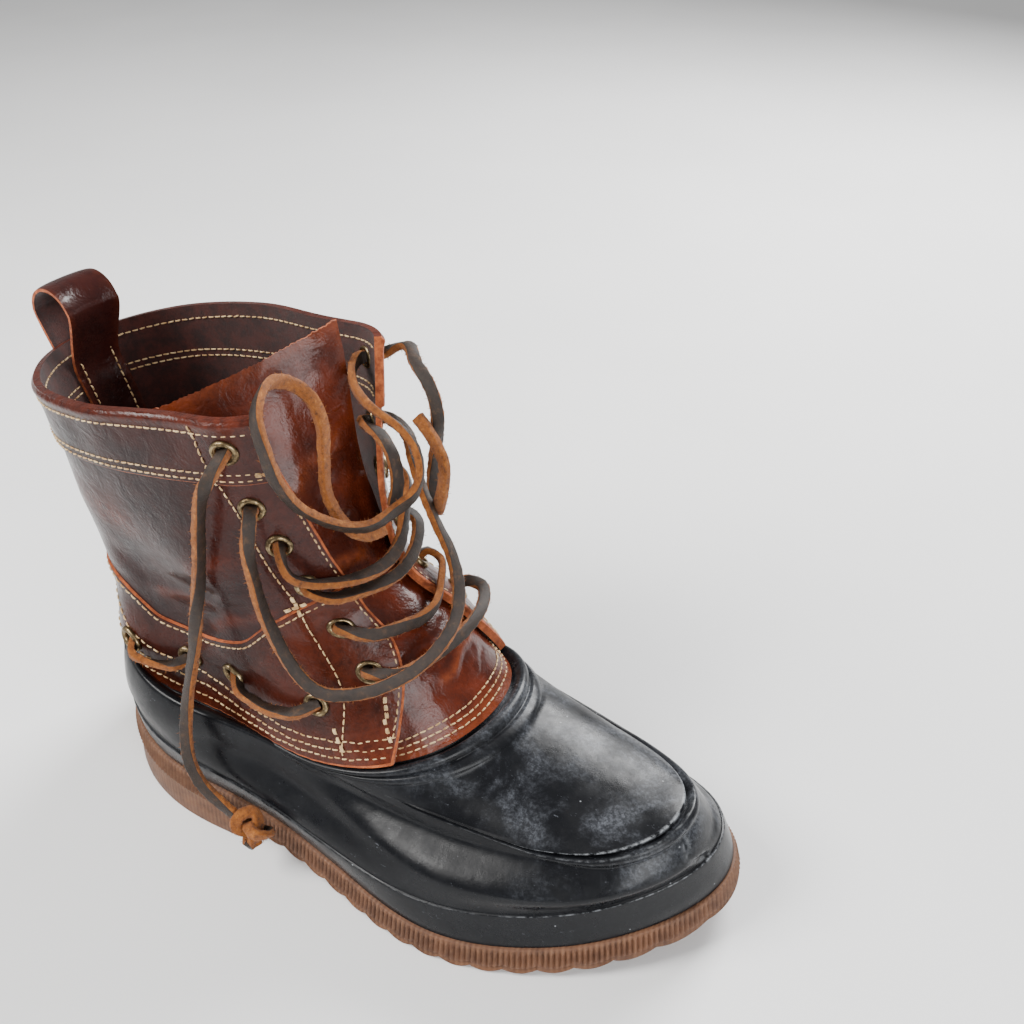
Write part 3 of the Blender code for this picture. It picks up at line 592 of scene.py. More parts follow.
# %% [markdown]
# ## Suede, raw edges and thread
# Inside, the flesh side of the hide is a short dull nap. A cut edge shows undyed fibre, bright
# tan. Thread is waxed linen, cream with brown where wax has gathered. None of these shine, so
# they differ from the leather in roughness and sheen as much as in colour.

# %% Matt finishes


def matt_finish(name, dark, light, patch, roughness, sheen, depth, fibre=(1, 1, 1)):
    """A dull surface of mixed fibres."""
    made, tree, shader = new_finish(name, light, roughness, specular=0.25, sheen=sheen)
    where = place_node(tree, fibre)
    mottled = stretch_range(tree, noise(tree, where, patch, 6.0, 0.7), 0.34, 0.66)
    nap = noise(tree, where, patch / 9, 4.0, 0.75)
    wire(tree, shader, blend_colours(tree, mottled, dark, light), None, relief(tree, nap, depth, 0.9))
    return made


LINING = matt_finish("suede_lining", tint(36, 13, 10), tint(64, 24, 17), 0.006, 0.80, 0.20, 0.0004)
RAW_EDGE = matt_finish("raw_leather_edge", tint(120, 56, 28), tint(180, 96, 52), 0.003, 0.75, 0.10, 0.0003)
THREAD = matt_finish("waxed_thread", tint(168, 130, 86), tint(222, 194, 148), 0.004, 0.62, 0.10, 0.0002)
FELT = matt_finish("insole_felt", tint(72, 44, 34), tint(104, 66, 50), 0.004, 0.92, 0.35, 0.0005)

# %% [markdown]
# ## Rubber
# The shell is black moulded rubber that has bloomed: a grey film has come to its surface and
# been rubbed off again in places. The film is patchy noise, laid on most thickly on the upward
# faces of the toe, where it is partly a painted highlight, and the scratches are noise stretched
# long and thin. The sole is a brown gum rubber, duller, dusty, and painted paler on the crests
# of its ribs as a highlight.

# %% Rubber and gum


def rubber_finish():
    """Black rubber with a grey bloomed film, heaviest on upward faces as a painted highlight, scratches, pale
    specks and scuffs on its ridges.
    """
    black = tint(15, 16, 19)
    bloom_and_highlight = tint(88, 91, 97)
    scuff = tint(158, 161, 165)
    made, tree, shader = new_finish("shell_rubber", black, 0.42, specular=0.20)
    where = place_node(tree)
    film = stretch_range(tree, noise(tree, where, 0.030, 7.0, 0.66, 0.6), 0.40, 0.68)
    grains = stretch_range(tree, noise(tree, where, 0.0016, 3.0, 0.8), 0.40, 0.66, 0.25, 1.0)
    # The grey film follows the mesh's number: real bloomed film, and on upward faces a painted highlight.
    film = combine(tree, "MULTIPLY", combine(tree, "MULTIPLY", film, grains), vertex_number(tree, "bloom_and_highlight"))
    body = blend_colours(tree, film, black, bloom_and_highlight)
    long_way = place_node(tree, (0.25, 1.0, 1.0))
    scratch = stretch_range(tree, noise(tree, long_way, 0.0013, 2.0, 0.5, 2.5), 0.70, 0.76, 0.0, 0.55)
    body = blend_colours(tree, scratch, body, bloom_and_highlight)
    specks = stretch_range(tree, cells(tree, where, 0.0105), 0.018, 0.045, 0.55, 0.0)
    body = blend_colours(tree, specks, body, scuff)
    rubbed = combine(tree, "MULTIPLY", vertex_number(tree, "scuff"), stretch_range(
        tree, noise(tree, where, 0.0034, 5.0, 0.7), 0.42, 0.62))
    body = blend_colours(tree, rubbed, body, scuff)
    gloss = stretch_range(tree, noise(tree, where, 0.018, 6.0, 0.65), 0.35, 0.68, 0.24, 0.42)
    swell = noise(tree, where, 0.014, 3.0, 0.5)
    normal = relief(tree, swell, 0.0006, 0.5)
    normal = relief(tree, noise(tree, where, 0.0007, 2.0, 0.7), 0.00004, 0.6, normal)
    wire(tree, shader, body, gloss, normal)
    return made


def gum_finish():
    """Brown gum rubber, paler where the mesh says so: dusty on its plain faces, a painted highlight on the
    rib crests.
    """
    made, tree, shader = new_finish("gum_sole", tint(104, 66, 44), 0.60, specular=0.35)
    where = place_node(tree)
    patches = stretch_range(tree, noise(tree, where, 0.012, 6.0, 0.65), 0.34, 0.66)
    body = blend_colours(tree, patches, tint(68, 41, 27), tint(98, 63, 42))
    # Pale shade: dusting on the plain faces, a painted highlight on the rib crests.
    dust_and_rib_highlight = combine(tree, "MULTIPLY", vertex_number(tree, "dust_and_rib_highlight"), stretch_range(
        tree, noise(tree, where, 0.004, 4.0, 0.7), 0.35, 0.65, 0.3, 0.9))
    body = blend_colours(tree, dust_and_rib_highlight, body, tint(128, 92, 67))
    wire(tree, shader, body, None, relief(tree, noise(tree, where, 0.0012, 4.0, 0.7), 0.0002, 0.6))
    return made


RUBBER = rubber_finish()
GUM = gum_finish()

# %% [markdown]
# ## Brass and rawhide
# The eyelets are antiqued brass: dark in the hollows, pale where the lace has polished the rim.
# The lace is a flat strip of rawhide. One face is the smooth brown grain side, the other three are
# the rough orange flesh, so it takes two finishes, and each face of its mesh picks one.

# %% Brass and lace finishes


def brass_finish():
    """Antique brass with a dark film broken by polish."""
    made, tree, shader = new_finish("antique_brass", tint(120, 102, 74), 0.38, metallic=1.0)
    where = place_node(tree)
    film = stretch_range(tree, noise(tree, where, 0.0022, 5.0, 0.7), 0.36, 0.64)
    body = blend_colours(tree, film, tint(78, 64, 46), tint(150, 132, 100))
    gloss = stretch_range(tree, film, 0.0, 1.0, 0.48, 0.28)
    wire(tree, shader, body, gloss, relief(tree, noise(tree, where, 0.0009, 3.0, 0.6), 0.00008, 0.6))
    return made


def lace_finish(name, dark, mid, light, patch, roughness, sheen, depth):
    """One side of the rawhide strip."""
    made, tree, shader = new_finish(name, mid, roughness, specular=0.35, sheen=sheen)
    where = place_node(tree)
    cloud = noise(tree, where, patch, 6.0, 0.75)
    body = blend_colours(tree, stretch_range(tree, cloud, 0.30, 0.52), dark, mid)
    body = blend_colours(tree, stretch_range(tree, cloud, 0.52, 0.72), body, light)
    fibres = noise(tree, where, patch / 5, 5.0, 0.8)
    wire(tree, shader, body, None, relief(tree, fibres, depth, 1.0))
    return made


BRASS = brass_finish()
LACE_GRAIN = lace_finish("rawhide_grain", tint(27, 20, 16), tint(42, 31, 24), tint(78, 54, 34),
                         0.0040, 0.48, 0.0, 0.0003)
LACE_FLESH = lace_finish("rawhide_flesh", tint(84, 44, 14), tint(142, 80, 24), tint(186, 118, 48),
                         0.0022, 0.82, 0.1, 0.0006)
print("finishes:", len(bpy.data.materials))

# %% [markdown]
# ## The rawhide lace
# The lace is a long thong, about 5 mm wide and 3 mm thick. Bars cross the throat, and what is
# left over lies in big loose loops, with one end hanging down the side to its knot. A free cord
# isn't simulated here, because the photograph shows exactly how it lies: each strand follows a
# route of points given in millimetres, x from the shell's back, y to the inner side, z
# from the floor. A curve with a bevel would give a round cord, so the strip is swept in mesh
# code, which also lets it turn over along its run.

# %% Routes of the lace
LACE_WIDTH = 0.0052
LACE_THICK = 0.0032
LACE_EYELETS = ((0.375, 0.968), (0.379, 0.903), (0.392, 0.850), (0.404, 0.755), (0.412, 0.632),
                (0.407, 0.548))
SIDE_EYELETS = ((0.150, 0.560), (0.212, 0.548), (0.258, 0.536), (0.345, 0.518))
EYELET_HEIGHT = 0.0013
EYELET_SEAT = 0.0005
CUFF_LINE = 0.932
PANEL_LINE = ((0.0, 0.735), (0.12, 0.722), (0.16, 0.690), (0.20, 0.625), (0.25, 0.604), (0.29, 0.613),
              (0.34, 0.660), (0.39, 0.700), (0.42, 0.716), (0.46, 0.728))
LACE_BARS = {
    3: ((132, -35.5, 147), (136, -29.5, 140.5), (142, -20, 137), (147, -10, 135.5), (150, 1, 136.5),
        (149, 11, 140), (144, 21, 145.5), (137, 33, 151.5)),
    4: ((142, -23.5, 131.5), (146.5, -13, 129.5), (150, -2, 128), (150.5, 10, 127.5), (147.5, 22, 129.5),
        (141.5, 32, 133.5)),
    5: ((155, -18, 114.5), (160.5, -8, 113.5), (164, 2, 112.5), (164, 12, 113), (159.5, 22, 115),
        (152.5, 32.5, 117)),
    6: ((169.5, -20, 102.5), (174, -8, 103), (176.5, 4, 103.5), (177, 17, 104), (175, 29, 104.5),
        (168, 40, 104)),
}
LACE_CORDS = {
    "cord_end": (("lateral", 1, "out"), None, (
        (111.5, -50, 186), (106.5, -50.5, 171), (103, -51, 153),
        (98, -50.8, 135), (93, -51, 118), (90, -53.5, 100), (88, -58, 84), (88, -63, 70), (89, -66.5, 58),
        (91, -68, 48), (96, -68.5, 40), (104, -68, 34), (113, -67.5, 29.5))),
    "cord_low": (("lateral", 2, "out"), ("medial", 2, "out"), (
        (124.5, -46, 162), (125, -46, 147), (127, -46, 134),
        (131, -45.5, 121), (136, -45, 111), (142, -44.2, 103.5), (149, -42, 99.5), (157, -37, 99),
        (166, -30, 101), (174, -20, 105), (178.5, -8, 110), (178, 5, 114.5), (173, 16, 121),
        (165, 23, 131), (156, 26, 142), (149, 28, 153), (142, 32, 163), (134, 39, 170))),
    "cord_high": (("medial", 1, "in"), None, (
        (118, 27.5, 199.5), (125, 21.5, 196), (135, 18, 193),
        (145, 19, 188.5), (152.5, 19.5, 181.5), (156, 18, 172), (155, 14, 163), (150, 7.5, 157),
        (148, -5, 157), (145, -16, 162.5), (140.5, -26, 171.5), (138, -33, 181), (136.5, -38, 193),
        (135.5, -40, 205), (131, -37.5, 215.5), (126, -29, 219.5), (122, -19, 218.5), (122.5, -10, 213.5),
        (126, -5, 206), (129, -4, 195.5), (130, -6.5, 181.5), (131.5, -9, 170), (135.5, -9.5, 161.5),
        (140, -7, 153), (143, 0, 147.5), (143.5, 8, 145.5))),
    "cord_side": (("medial", 1, "out"), None, (
        (128, 50.5, 203.5), (137, 44, 201), (146, 40, 195.5),
        (150, 38.5, 187), (149.5, 39, 178), (147, 41, 169), (144.5, 42, 159), (144, 41, 149),
        (146.5, 37.5, 141.5), (151, 33.5, 141.5), (154.5, 31, 148), (157.5, 30, 158), (158.5, 30, 169),
        (153.5, 30.5, 178.5), (145, 32.5, 185))),
    "cord_inner": (("medial", 2, "in"), None, (
        (127, 24.8, 178.5), (135, 22.5, 177), (141.5, 20, 171.5), (145, 17, 163.5), (145.5, 13, 154.5))),
}
PATH_STEP = 0.0016
SIDE_LACE_SAG = 0.016


def in_metres(route):
    """A route's points in metres, in the part's frame."""
    return np.array(route) / 1000 - ORIGIN_SHIFT


def leather_proud(turn, v):
    """How far the leather stands out under an eyelet."""
    panel = column(PANEL_LINE, abs(turn))
    return OVERLAY if v < panel or v > CUFF_LINE else 0.0


def eyelet_way(side, turn, v, face):
    """Where a strand stands in its eyelet, and where it has come clear of it."""
    sign = 1 if side == "lateral" else -1
    if face == "in":
        levels = (-LEATHER_WALL * 0.5, -LEATHER_WALL - LACE_THICK * 1.2)
    else:
        proud = leather_proud(turn, v)
        levels = (proud - LEATHER_WALL * 0.5, proud + EYELET_SEAT + EYELET_HEIGHT + LACE_THICK)
    return [skin(sign * turn, v, level) for level in levels]


def strand_path(origin, target, route):
    """An even line of points from one eyelet, along a route, to another eyelet or a free end."""
    side, number, face = origin
    points = eyelet_way(side, *LACE_EYELETS[number - 1], face) + list(in_metres(route))
    if target:
        side, number, face = target
        points += reversed(eyelet_way(side, *LACE_EYELETS[number - 1], face))
    return even_points(catmull(points, 14), PATH_STEP)


bar_paths = {}
for number, route in LACE_BARS.items():
    bar_paths[number] = strand_path(("lateral", number, "out"), ("medial", number, "out"), route)
cord_paths = {name: strand_path(*facts) for name, facts in LACE_CORDS.items()}
for name, path in cord_paths.items():
    print(name, "is", round(lengths(path)[-1] * 1000), "mm long")

# %% [markdown]
# ## Sweeping a flat strip
# A flat strip lies on its broad side, so its dark grain face looks up and a bright edge shows
# below it. At each step of the path the grain face is turned towards one chosen direction, the
# angles are smoothed along the run, and a slow sway lets the strip roll over here and there.
# The section is a rounded oblong. Its flat top takes the grain finish, everything else the flesh
# finish. A little seeded roughness in the section keeps the edges from looking machined.

# %% Sweep helper
SECTION_POINTS = 14
SECTION_POWER = 0.42
STRIP_ROUGHNESS = 0.00007
GRAIN_EDGE = 0.62           # sine of the angle where the section's flat top begins
FREE_DIRECTION = (0.31, 0.17, 0.93)     # no strand starts along this, so it fixes a first side


def travelling_frames(path):
    """Tangent and side at each point, turning only as the path does."""
    tangents = np.gradient(path, axis=0)
    tangents /= np.linalg.norm(tangents, axis=1, keepdims=True)
    first = np.cross(tangents[0], FREE_DIRECTION)
    side = first / np.linalg.norm(first)
    sides = []
    for tangent in tangents:
        side = side - tangent * np.dot(side, tangent)
        side = side / np.linalg.norm(side)
        sides.append(side)
    return tangents, np.array(sides)


GRAIN_FACES = np.array(right * 1.0 + up * 0.9 + back * 0.9)
SWAY = 0.5
SWAY_RUN = 0.019
ROLL_SMOOTHING = 9          # steps of the path


def resting_angle(sides, ups):
    """Turn of the strip about its path that points its grain face the way it lies, smoothed."""
    across = sides @ GRAIN_FACES
    upward = ups @ GRAIN_FACES
    window = np.hanning(2 * ROLL_SMOOTHING + 3)[1:-1]
    window /= window.sum()
    pad = ROLL_SMOOTHING
    soft_across = np.convolve(np.pad(across, pad, mode="edge"), window, mode="valid")
    soft_upward = np.convolve(np.pad(upward, pad, mode="edge"), window, mode="valid")
    return np.unwrap(np.arctan2(soft_upward, soft_across)) - math.pi / 2


def strip_section(width, thick):
    """Rounded oblong, and which of its edges are on the grain side."""
    angle = 2 * math.pi * (np.arange(SECTION_POINTS) + 0.5) / SECTION_POINTS
    across = np.sign(np.cos(angle)) * np.abs(np.cos(angle)) ** SECTION_POWER * width / 2
    height = np.sign(np.sin(angle)) * np.abs(np.sin(angle)) ** SECTION_POWER * thick / 2
    middle = angle + math.pi / SECTION_POINTS
    return across, height, np.sin(middle) > GRAIN_EDGE


def swept_strip(path, start_turn, twist, width=LACE_WIDTH, thick=LACE_THICK, seed=1):
    """Points, faces and finish of each face for a flat strip that twists along its path."""
    tangents, sides = travelling_frames(path)
    ups = np.cross(tangents, sides)
    count = len(path)
    share = np.linspace(0, 1, count)
    run = lengths(path)
    angle = resting_angle(sides, ups) + 2 * math.pi * (start_turn + twist * share)
    angle = angle + SWAY * np.sin(run / SWAY_RUN + seed)
    across, height, grain = strip_section(width, thick)
    random = np.random.default_rng(seed)
    rough = random.normal(0, STRIP_ROUGHNESS, (count, SECTION_POINTS))
    swell = 1 + rough / thick * 2
    wide = (across[None] * np.cos(angle)[:, None] - height[None] * np.sin(angle)[:, None]) * swell
    tall = (across[None] * np.sin(angle)[:, None] + height[None] * np.cos(angle)[:, None]) * swell
    points = path[:, None] + wide[..., None] * sides[:, None] + tall[..., None] * ups[:, None]
    index = np.arange(count * SECTION_POINTS).reshape(count, SECTION_POINTS)
    body = ring_quads(index)
    finish = np.tile(np.where(grain, 0, 1), count - 1)
    faces = [list(f) for f in body] + [list(index[0][::-1]), list(index[-1])]
    return points.reshape(-1, 3), faces, list(finish) + [1, 1]


strip_skins = []            # outside, middle line and flesh columns of every strip, for its fibres


def add_strip(name, path, start_turn, twist, nodes, seed, width=LACE_WIDTH, thick=LACE_THICK):
    """A piece of lace along a path."""
    points, faces, finish = swept_strip(path, start_turn, twist, width, thick, seed)
    made = add_piece(name, points, faces, [LACE_GRAIN, LACE_FLESH], finish, None, 60, nodes)
    flesh = np.array(finish[:SECTION_POINTS]) == 1
    strip_skins.append((points.reshape(-1, SECTION_POINTS, 3), path, flesh))
    return made


print("strip section of", SECTION_POINTS, "points")

# %% [markdown]
# ## Bars across the throat
# Four bars cross from the outer eyelets to the inner ones, each through its two brass rings.
# They are short and pulled fairly straight, so they twist less than the loose loops do.

# %% Lace bars
BAR_TURNS = {3: (-0.05, 0.10), 4: (0.04, -0.12), 5: (0.06, 0.05), 6: (0.05, -0.10)}
for number, path in bar_paths.items():
    start_turn, twist = BAR_TURNS[number]
    add_strip(f"bar_{number}", path, start_turn, twist, [f"lace_bar_{number}"], seed=number)
print("bars:", len(bar_paths))

# %% [markdown]
# ## Thongs along the sides
# Low on each side a thong runs through four eyelets and shows between the first and second and
# between the third and fourth. It hangs in shallow bows, held only at its two rings.

# %% Side thongs


def side_thong_path(sign, first):
    """A bow of thong between two side eyelets."""
    start_eyelet, end_eyelet = SIDE_EYELETS[first], SIDE_EYELETS[first + 1]
    share = np.linspace(0, 1, 7)
    bow = 4 * share * (1 - share)
    turn = start_eyelet[0] + (end_eyelet[0] - start_eyelet[0]) * share
    v = start_eyelet[1] + (end_eyelet[1] - start_eyelet[1]) * share - SIDE_LACE_SAG * bow
    clear = OVERLAY + EYELET_SEAT + EYELET_HEIGHT + LACE_THICK * 0.8
    middle = skin(sign * turn, v, clear + 0.0006 * bow)
    start = skin(sign * start_eyelet[0], start_eyelet[1], OVERLAY - LEATHER_WALL * 0.5)
    end = skin(sign * end_eyelet[0], end_eyelet[1], OVERLAY - LEATHER_WALL * 0.5)
    return even_points(catmull([start, *middle[1:-1], end], 12), PATH_STEP)


for side, sign in (("lateral", 1), ("medial", -1)):
    for letter, first in (("a", 0), ("b", 2)):
        path = side_thong_path(sign, first)
        add_strip(f"thong_{side}_{letter}", path, sign * -0.12, sign * 0.10,
                  [f"side_lace_{side}_{letter}"], seed=11 + first)
print("side thongs: 4")

# %% [markdown]
# ## Loose loops and the hanging end
# These strands are free cords: each is given where it leaves the boot, the route it follows and
# what its far end is. The end of the lace that hangs down carries a knot, and
# the others tuck back among the bars.

# %% Free strands
CORD_TURNS = {
    "cord_end": (0.10, 0.20), "cord_low": (0.12, -0.20), "cord_high": (-0.05, -0.45),
    "cord_side": (0.05, 0.15), "cord_inner": (-0.10, 0.15),
}
for i, (name, path) in enumerate(cord_paths.items()):
    start_turn, twist = CORD_TURNS[name]
    add_strip(f"loop_{name[5:]}", path, start_turn, twist, [name], seed=21 + i)

# %% [markdown]
# ## The knot
# The hanging end is tied in a small overhand lump: two turns of the strip wrapped round each
# other with a short tail. A knot could be simulated, but a trefoil curve swept with the same
# strip already passes over and under itself as a tied thong does.

# %% Knot
KNOT_REACH = 0.0060
KNOT_DEPTH = 0.0036
KNOT_WIDTH = 0.0050
KNOT_THICK = 0.0030
TAIL_LENGTH = 0.011


def knot_path(tip, heading):
    """A trefoil just past the strand's tip, ending in a short tail."""
    forward = heading / np.linalg.norm(heading)
    side = np.cross(forward, (0, 0, 1))
    side /= np.linalg.norm(side)
    upright = np.cross(side, forward)
    t = np.linspace(0, 2 * math.pi, 90, endpoint=False)
    x = np.sin(t) + 2 * np.sin(2 * t)
    y = np.cos(t) - 2 * np.cos(2 * t)
    z = -np.sin(3 * t)
    centre = tip + forward * KNOT_REACH * 1.3
    loop = centre + (np.outer(x, forward) + np.outer(y, upright)) * KNOT_REACH / 2.3
    loop = loop + np.outer(z, side) * KNOT_DEPTH
    tail = loop[-1] + np.outer(np.linspace(0.1, 1, 8), forward * 0.8 - upright * 0.6) * TAIL_LENGTH * 0.8
    return np.concatenate([loop, tail])


end_path = cord_paths["cord_end"]
knot_points = knot_path(end_path[-1], end_path[-1] - end_path[-4])
knot_line = even_points(catmull(knot_points[::3], 6), PATH_STEP * 0.7)
knot = add_strip("end_knot", knot_line, 0.1, 0.6, ["cord_knot"], 31, KNOT_WIDTH, KNOT_THICK)
print("knot of", round(lengths(knot_line)[-1] * 1000), "mm of strip")

# %% [markdown]
# ## Loose fibres
# Rawhide is cut with a blade, and its flesh side and edges are left hairy. At this size a hair is
# only a sliver of light, so each one is a thin three-sided spike, and all are one mesh. A hair
# system would grow the same fuzz, but its strands depend on render settings and aren't kept as a mesh.

# %% Fibres
FIBRES_PER_METRE = 2600
FIBRE_LENGTHS = (0.0003, 0.0016)
FIBRE_WIDTH = 0.00014
FIBRE_LEAN = 0.55
FIBRE_SEED = 17
FIBRE_CORNERS = (0.0, 2.1, 4.2)     # radians


def fibre_spikes(skin_points, path, flesh, random):
    """Base triangles and tips of short hairs that stand off the flesh side of one strip."""
    amount = int(lengths(path)[-1] * FIBRES_PER_METRE)
    at = random.integers(1, len(path) - 1, amount)
    column_at = random.choice(np.flatnonzero(flesh), amount)
    share = random.random((amount, 1))
    beyond = skin_points[at, (column_at + 1) % SECTION_POINTS]
    base = skin_points[at, column_at] * share + beyond * (1 - share)
    away = base - path[at]
    away /= np.linalg.norm(away, axis=1, keepdims=True)
    lean = away + random.normal(0, FIBRE_LEAN, (amount, 3))
    lean /= np.linalg.norm(lean, axis=1, keepdims=True)
    tall = random.uniform(*FIBRE_LENGTHS, (amount, 1))
    beside = np.cross(lean, random.normal(0, 1, (amount, 3)))
    beside /= np.linalg.norm(beside, axis=1, keepdims=True)
    across = np.cross(lean, beside)
    base = base - away * FIBRE_WIDTH
    corners = [base + FIBRE_WIDTH * (beside * math.cos(a) + across * math.sin(a)) for a in FIBRE_CORNERS]
    return np.stack(corners + [base + lean * (tall + 2 * FIBRE_WIDTH)], 1)


def make_fibres():
    """All the hairs of the lace as one mesh."""
    random = np.random.default_rng(FIBRE_SEED)
    spikes = np.concatenate([fibre_spikes(*facts, random) for facts in strip_skins])
    corner = np.arange(len(spikes))[:, None] * 4
    faces = np.concatenate([corner + np.array(face) for face in ((0, 1, 3), (1, 2, 3), (2, 0, 3), (2, 1, 0))])
    made = add_piece("lace_fibres", spikes.reshape(-1, 3), faces.tolist(), [LACE_FLESH], None, None, 60, [])
    return made


fibres = make_fibres()
print("fibres:", len(fibres.data.polygons) // 4)

# %% [markdown]
# ## The gum outsole
# The outsole is one moulding. Under the shell runs a ribbed band that flares out to the floor,
# and its lower edge is cut in shallow scallops by the lugs. Under the heel the band stops at
# a step, and a plain block goes down to the floor. The ribs could be a bump, but they show on
# the outline at the toe, so the side is a fine grid whose columns rise and fall with the ribs.

# %% Outsole
SOLE_THICKNESS = 0.0124
SOLE_LEDGE = 0.0012
SOLE_FLARE = 0.0028
RIB_DEPTH = 0.0012
HEEL_FRONT = 0.098
HEEL_SLANT = 0.010
BALL_REST = 0.205
LUG_PITCH = 0.0135
LUG_GROOVE = 0.0040
LUG_SLOPE = 0.0005
LUG_DEPTH = 0.0020
RIB_COUNT = 330
STEPS_PER_RIB = 4
SCALLOP_DEPTH = 0.0026
SCALLOP_PITCH = 0.0120
BAND_SHARE = 0.80           # of the sole's thickness, how far down the ribs run
TREAD_STEPS = 14
TOP_STEPS = 4
# Rings of the sole's side from the top down: share of the ribbed band (past 1, of what is left
# below it), how far the side has spread past the shell, and how strong the ribs are
WIDEST = 2.7
SIDE_PROFILE = (
    (0.0, 0.0, 0.0), (0.03, 0.6, 0.0), (0.10, 0.9, 0.6), (0.30, 1.1, 1.0), (0.55, 1.5, 1.0),
    (0.80, 2.0, 1.0), (0.92, 2.3, 0.8), (1.0, 2.2, 0.1), (1.05, 1.7, 0.0), (1.12, 1.6, 0.0),
    (1.5, 2.1, 0.0), (1.92, 2.7, 0.0), (2.0, 2.3, 0.0),
)
PLAIN_DUST = 0.55           # on the tread and the top
# Dusting between the ribs, and the painted highlight that the rib crests add on top of it.
RIB_DUST_AND_HIGHLIGHT = (0.10, 0.65)     # between the ribs, and what their crests add


def sole_bottom(x):
    """Underside of the outsole, x measured from the shell's back."""
    arch = np.maximum(sole_top(x) - SOLE_THICKNESS, 0)
    return arch * np.clip((x - HEEL_FRONT) / HEEL_SLANT, 0, 1)


def even_turns(count):
    """Turns at nearly even steps round the sole's edge, the same lateral and medial."""
    half = np.linspace(0, 0.5, 2001)
    run = lengths(last_point(half, 0.0))
    lateral = np.interp(np.linspace(0, run[-1], count // 2 + 1), run, half)
    return np.concatenate([lateral, 1 - lateral[-2:0:-1]])


def groove_share(x):
    """1 in a groove of the heel's tread, 0 on a lug and before the heel."""
    phase = ((x - HEEL_CENTRE) / LUG_PITCH - 0.5) % 1.0
    off = np.minimum(phase, 1 - phase) * LUG_PITCH
    groove = 1 - ramp(LUG_GROOVE / 2 - LUG_SLOPE, LUG_GROOVE / 2 + LUG_SLOPE, off)
    return np.where(x < HEEL_FRONT, groove, 0.0)


def scallop_share(x):
    """How far the edge is lifted between two lugs of the forefoot."""
    phase = ((x - BALL_REST) / SCALLOP_PITCH + 0.5) % 1.0
    return np.where(x < HEEL_FRONT + HEEL_SLANT, 0.0, 1 - np.abs(np.sin(math.pi * phase)) ** 0.8)


def sole_side(turns, rib):
    """Rings of the outsole's side, from the floor up."""
    edge = last_point(turns, 0.0)
    out = last_normal(turns, 0.0)
    out[:, 2] = 0
    out /= np.linalg.norm(out, axis=-1, keepdims=True)
    top = sole_top(edge[:, 0]) - GAP
    foot = sole_bottom(edge[:, 0]) + SCALLOP_DEPTH * scallop_share(edge[:, 0])
    band = np.minimum(SOLE_THICKNESS, top - foot) * BAND_SHARE
    rings = []
    for share, spread, ribbed in reversed(SIDE_PROFILE):
        proud = SOLE_LEDGE + spread / WIDEST * SOLE_FLARE + RIB_DEPTH * ribbed * (rib - 0.5)
        ring = edge + out * proud[:, None]
        below = top - band - (top - band - foot) * (share - 1)
        ring[:, 2] = np.where(share <= 1, top - band * share, below)
        rings.append(ring)
    return np.stack(rings)


def opposite(count):
    """For each place on the outer half of a ring, the number of the place across from it."""
    return (-np.arange(count // 2 + 1)) % count


def closing_grid(ring, index, made, steps):
    """Points and quads that close a ring, from its outer half across to its inner half."""
    rows = len(ring) // 2 + 1
    lateral = ring[:rows]
    medial = ring[opposite(len(ring))]
    share = np.linspace(0, 1, steps + 1)[1:-1]
    across = lateral[:, None] * (1 - share)[None, :, None] + medial[:, None] * share[None, :, None]
    grid = np.zeros((rows, steps + 1), int)
    grid[:, 0] = index[:rows]
    grid[:, -1] = index[opposite(len(ring))]
    grid[:, 1:-1] = made + np.arange(rows * (steps - 1)).reshape(rows, steps - 1)
    grid[0, 1:-1] = grid[0, 0]
    grid[-1, 1:-1] = grid[-1, 0]
    return across, np.stack([grid[:-1, :-1], grid[1:, :-1], grid[1:, 1:], grid[:-1, 1:]], -1).reshape(-1, 4)


def make_outsole():
    """The sole's ribbed side, tread and top as one closed mesh."""
    turns = even_turns(RIB_COUNT * STEPS_PER_RIB)
    rib = 0.5 + 0.5 * np.cos(2 * math.pi * np.arange(len(turns)) / STEPS_PER_RIB)
    side = sole_side(turns, rib)
    made = side.shape[0] * side.shape[1]
    index = np.arange(made).reshape(side.shape[:2])
    tread, tread_quads = closing_grid(side[0], index[0], made, TREAD_STEPS)
    x = tread[..., 0]
    tread[..., 2] = sole_bottom(x) + LUG_DEPTH * groove_share(x) + SCALLOP_DEPTH * scallop_share(x)
    top, top_quads = closing_grid(side[-1], index[-1], made + tread[..., 0].size, TOP_STEPS)
    points = np.concatenate([grid.reshape(-1, 3) for grid in (side, tread, top)]) - ORIGIN_SHIFT
    faces = []
    for face in np.concatenate([ring_quads(index), tread_quads[:, ::-1], top_quads]):
        corners = list(dict.fromkeys(face.tolist()))
        if len(corners) > 2:
            faces.append(corners)
    used = np.unique(np.concatenate([np.array(face) for face in faces]))
    place = np.zeros(len(points), int)
    place[used] = np.arange(len(used))
    dust_and_rib_highlight = np.full(len(points), PLAIN_DUST)
    # The rib crests get the pale shade as a painted highlight; the grooves, the tread and the top get
    # dusting.
    dust_and_rib_highlight[:made] = np.tile(RIB_DUST_AND_HIGHLIGHT[0] + rib * RIB_DUST_AND_HIGHLIGHT[1], side.shape[0])
    piece = add_piece("gum_outsole", points[used], [place[face] for face in faces], [GUM], None,
                      {"dust_and_rib_highlight": dust_and_rib_highlight[used]}, 38, ["outsole"])
    return piece


outsole = make_outsole()
print("outsole faces:", len(outsole.data.polygons))

# %% [markdown]
# ## The rubber shell
# The shell looks like a moccasin cast in rubber. A ridge runs round the toe like a moccasin
# seam, with a plug inside it, and a rolled lip in two beads grips the leather.
# The rows of the grid follow the ridge, so that its sharp crest is a line of the mesh and
# never a staircase. A displacement texture would need far more faces to draw a crest as clean.

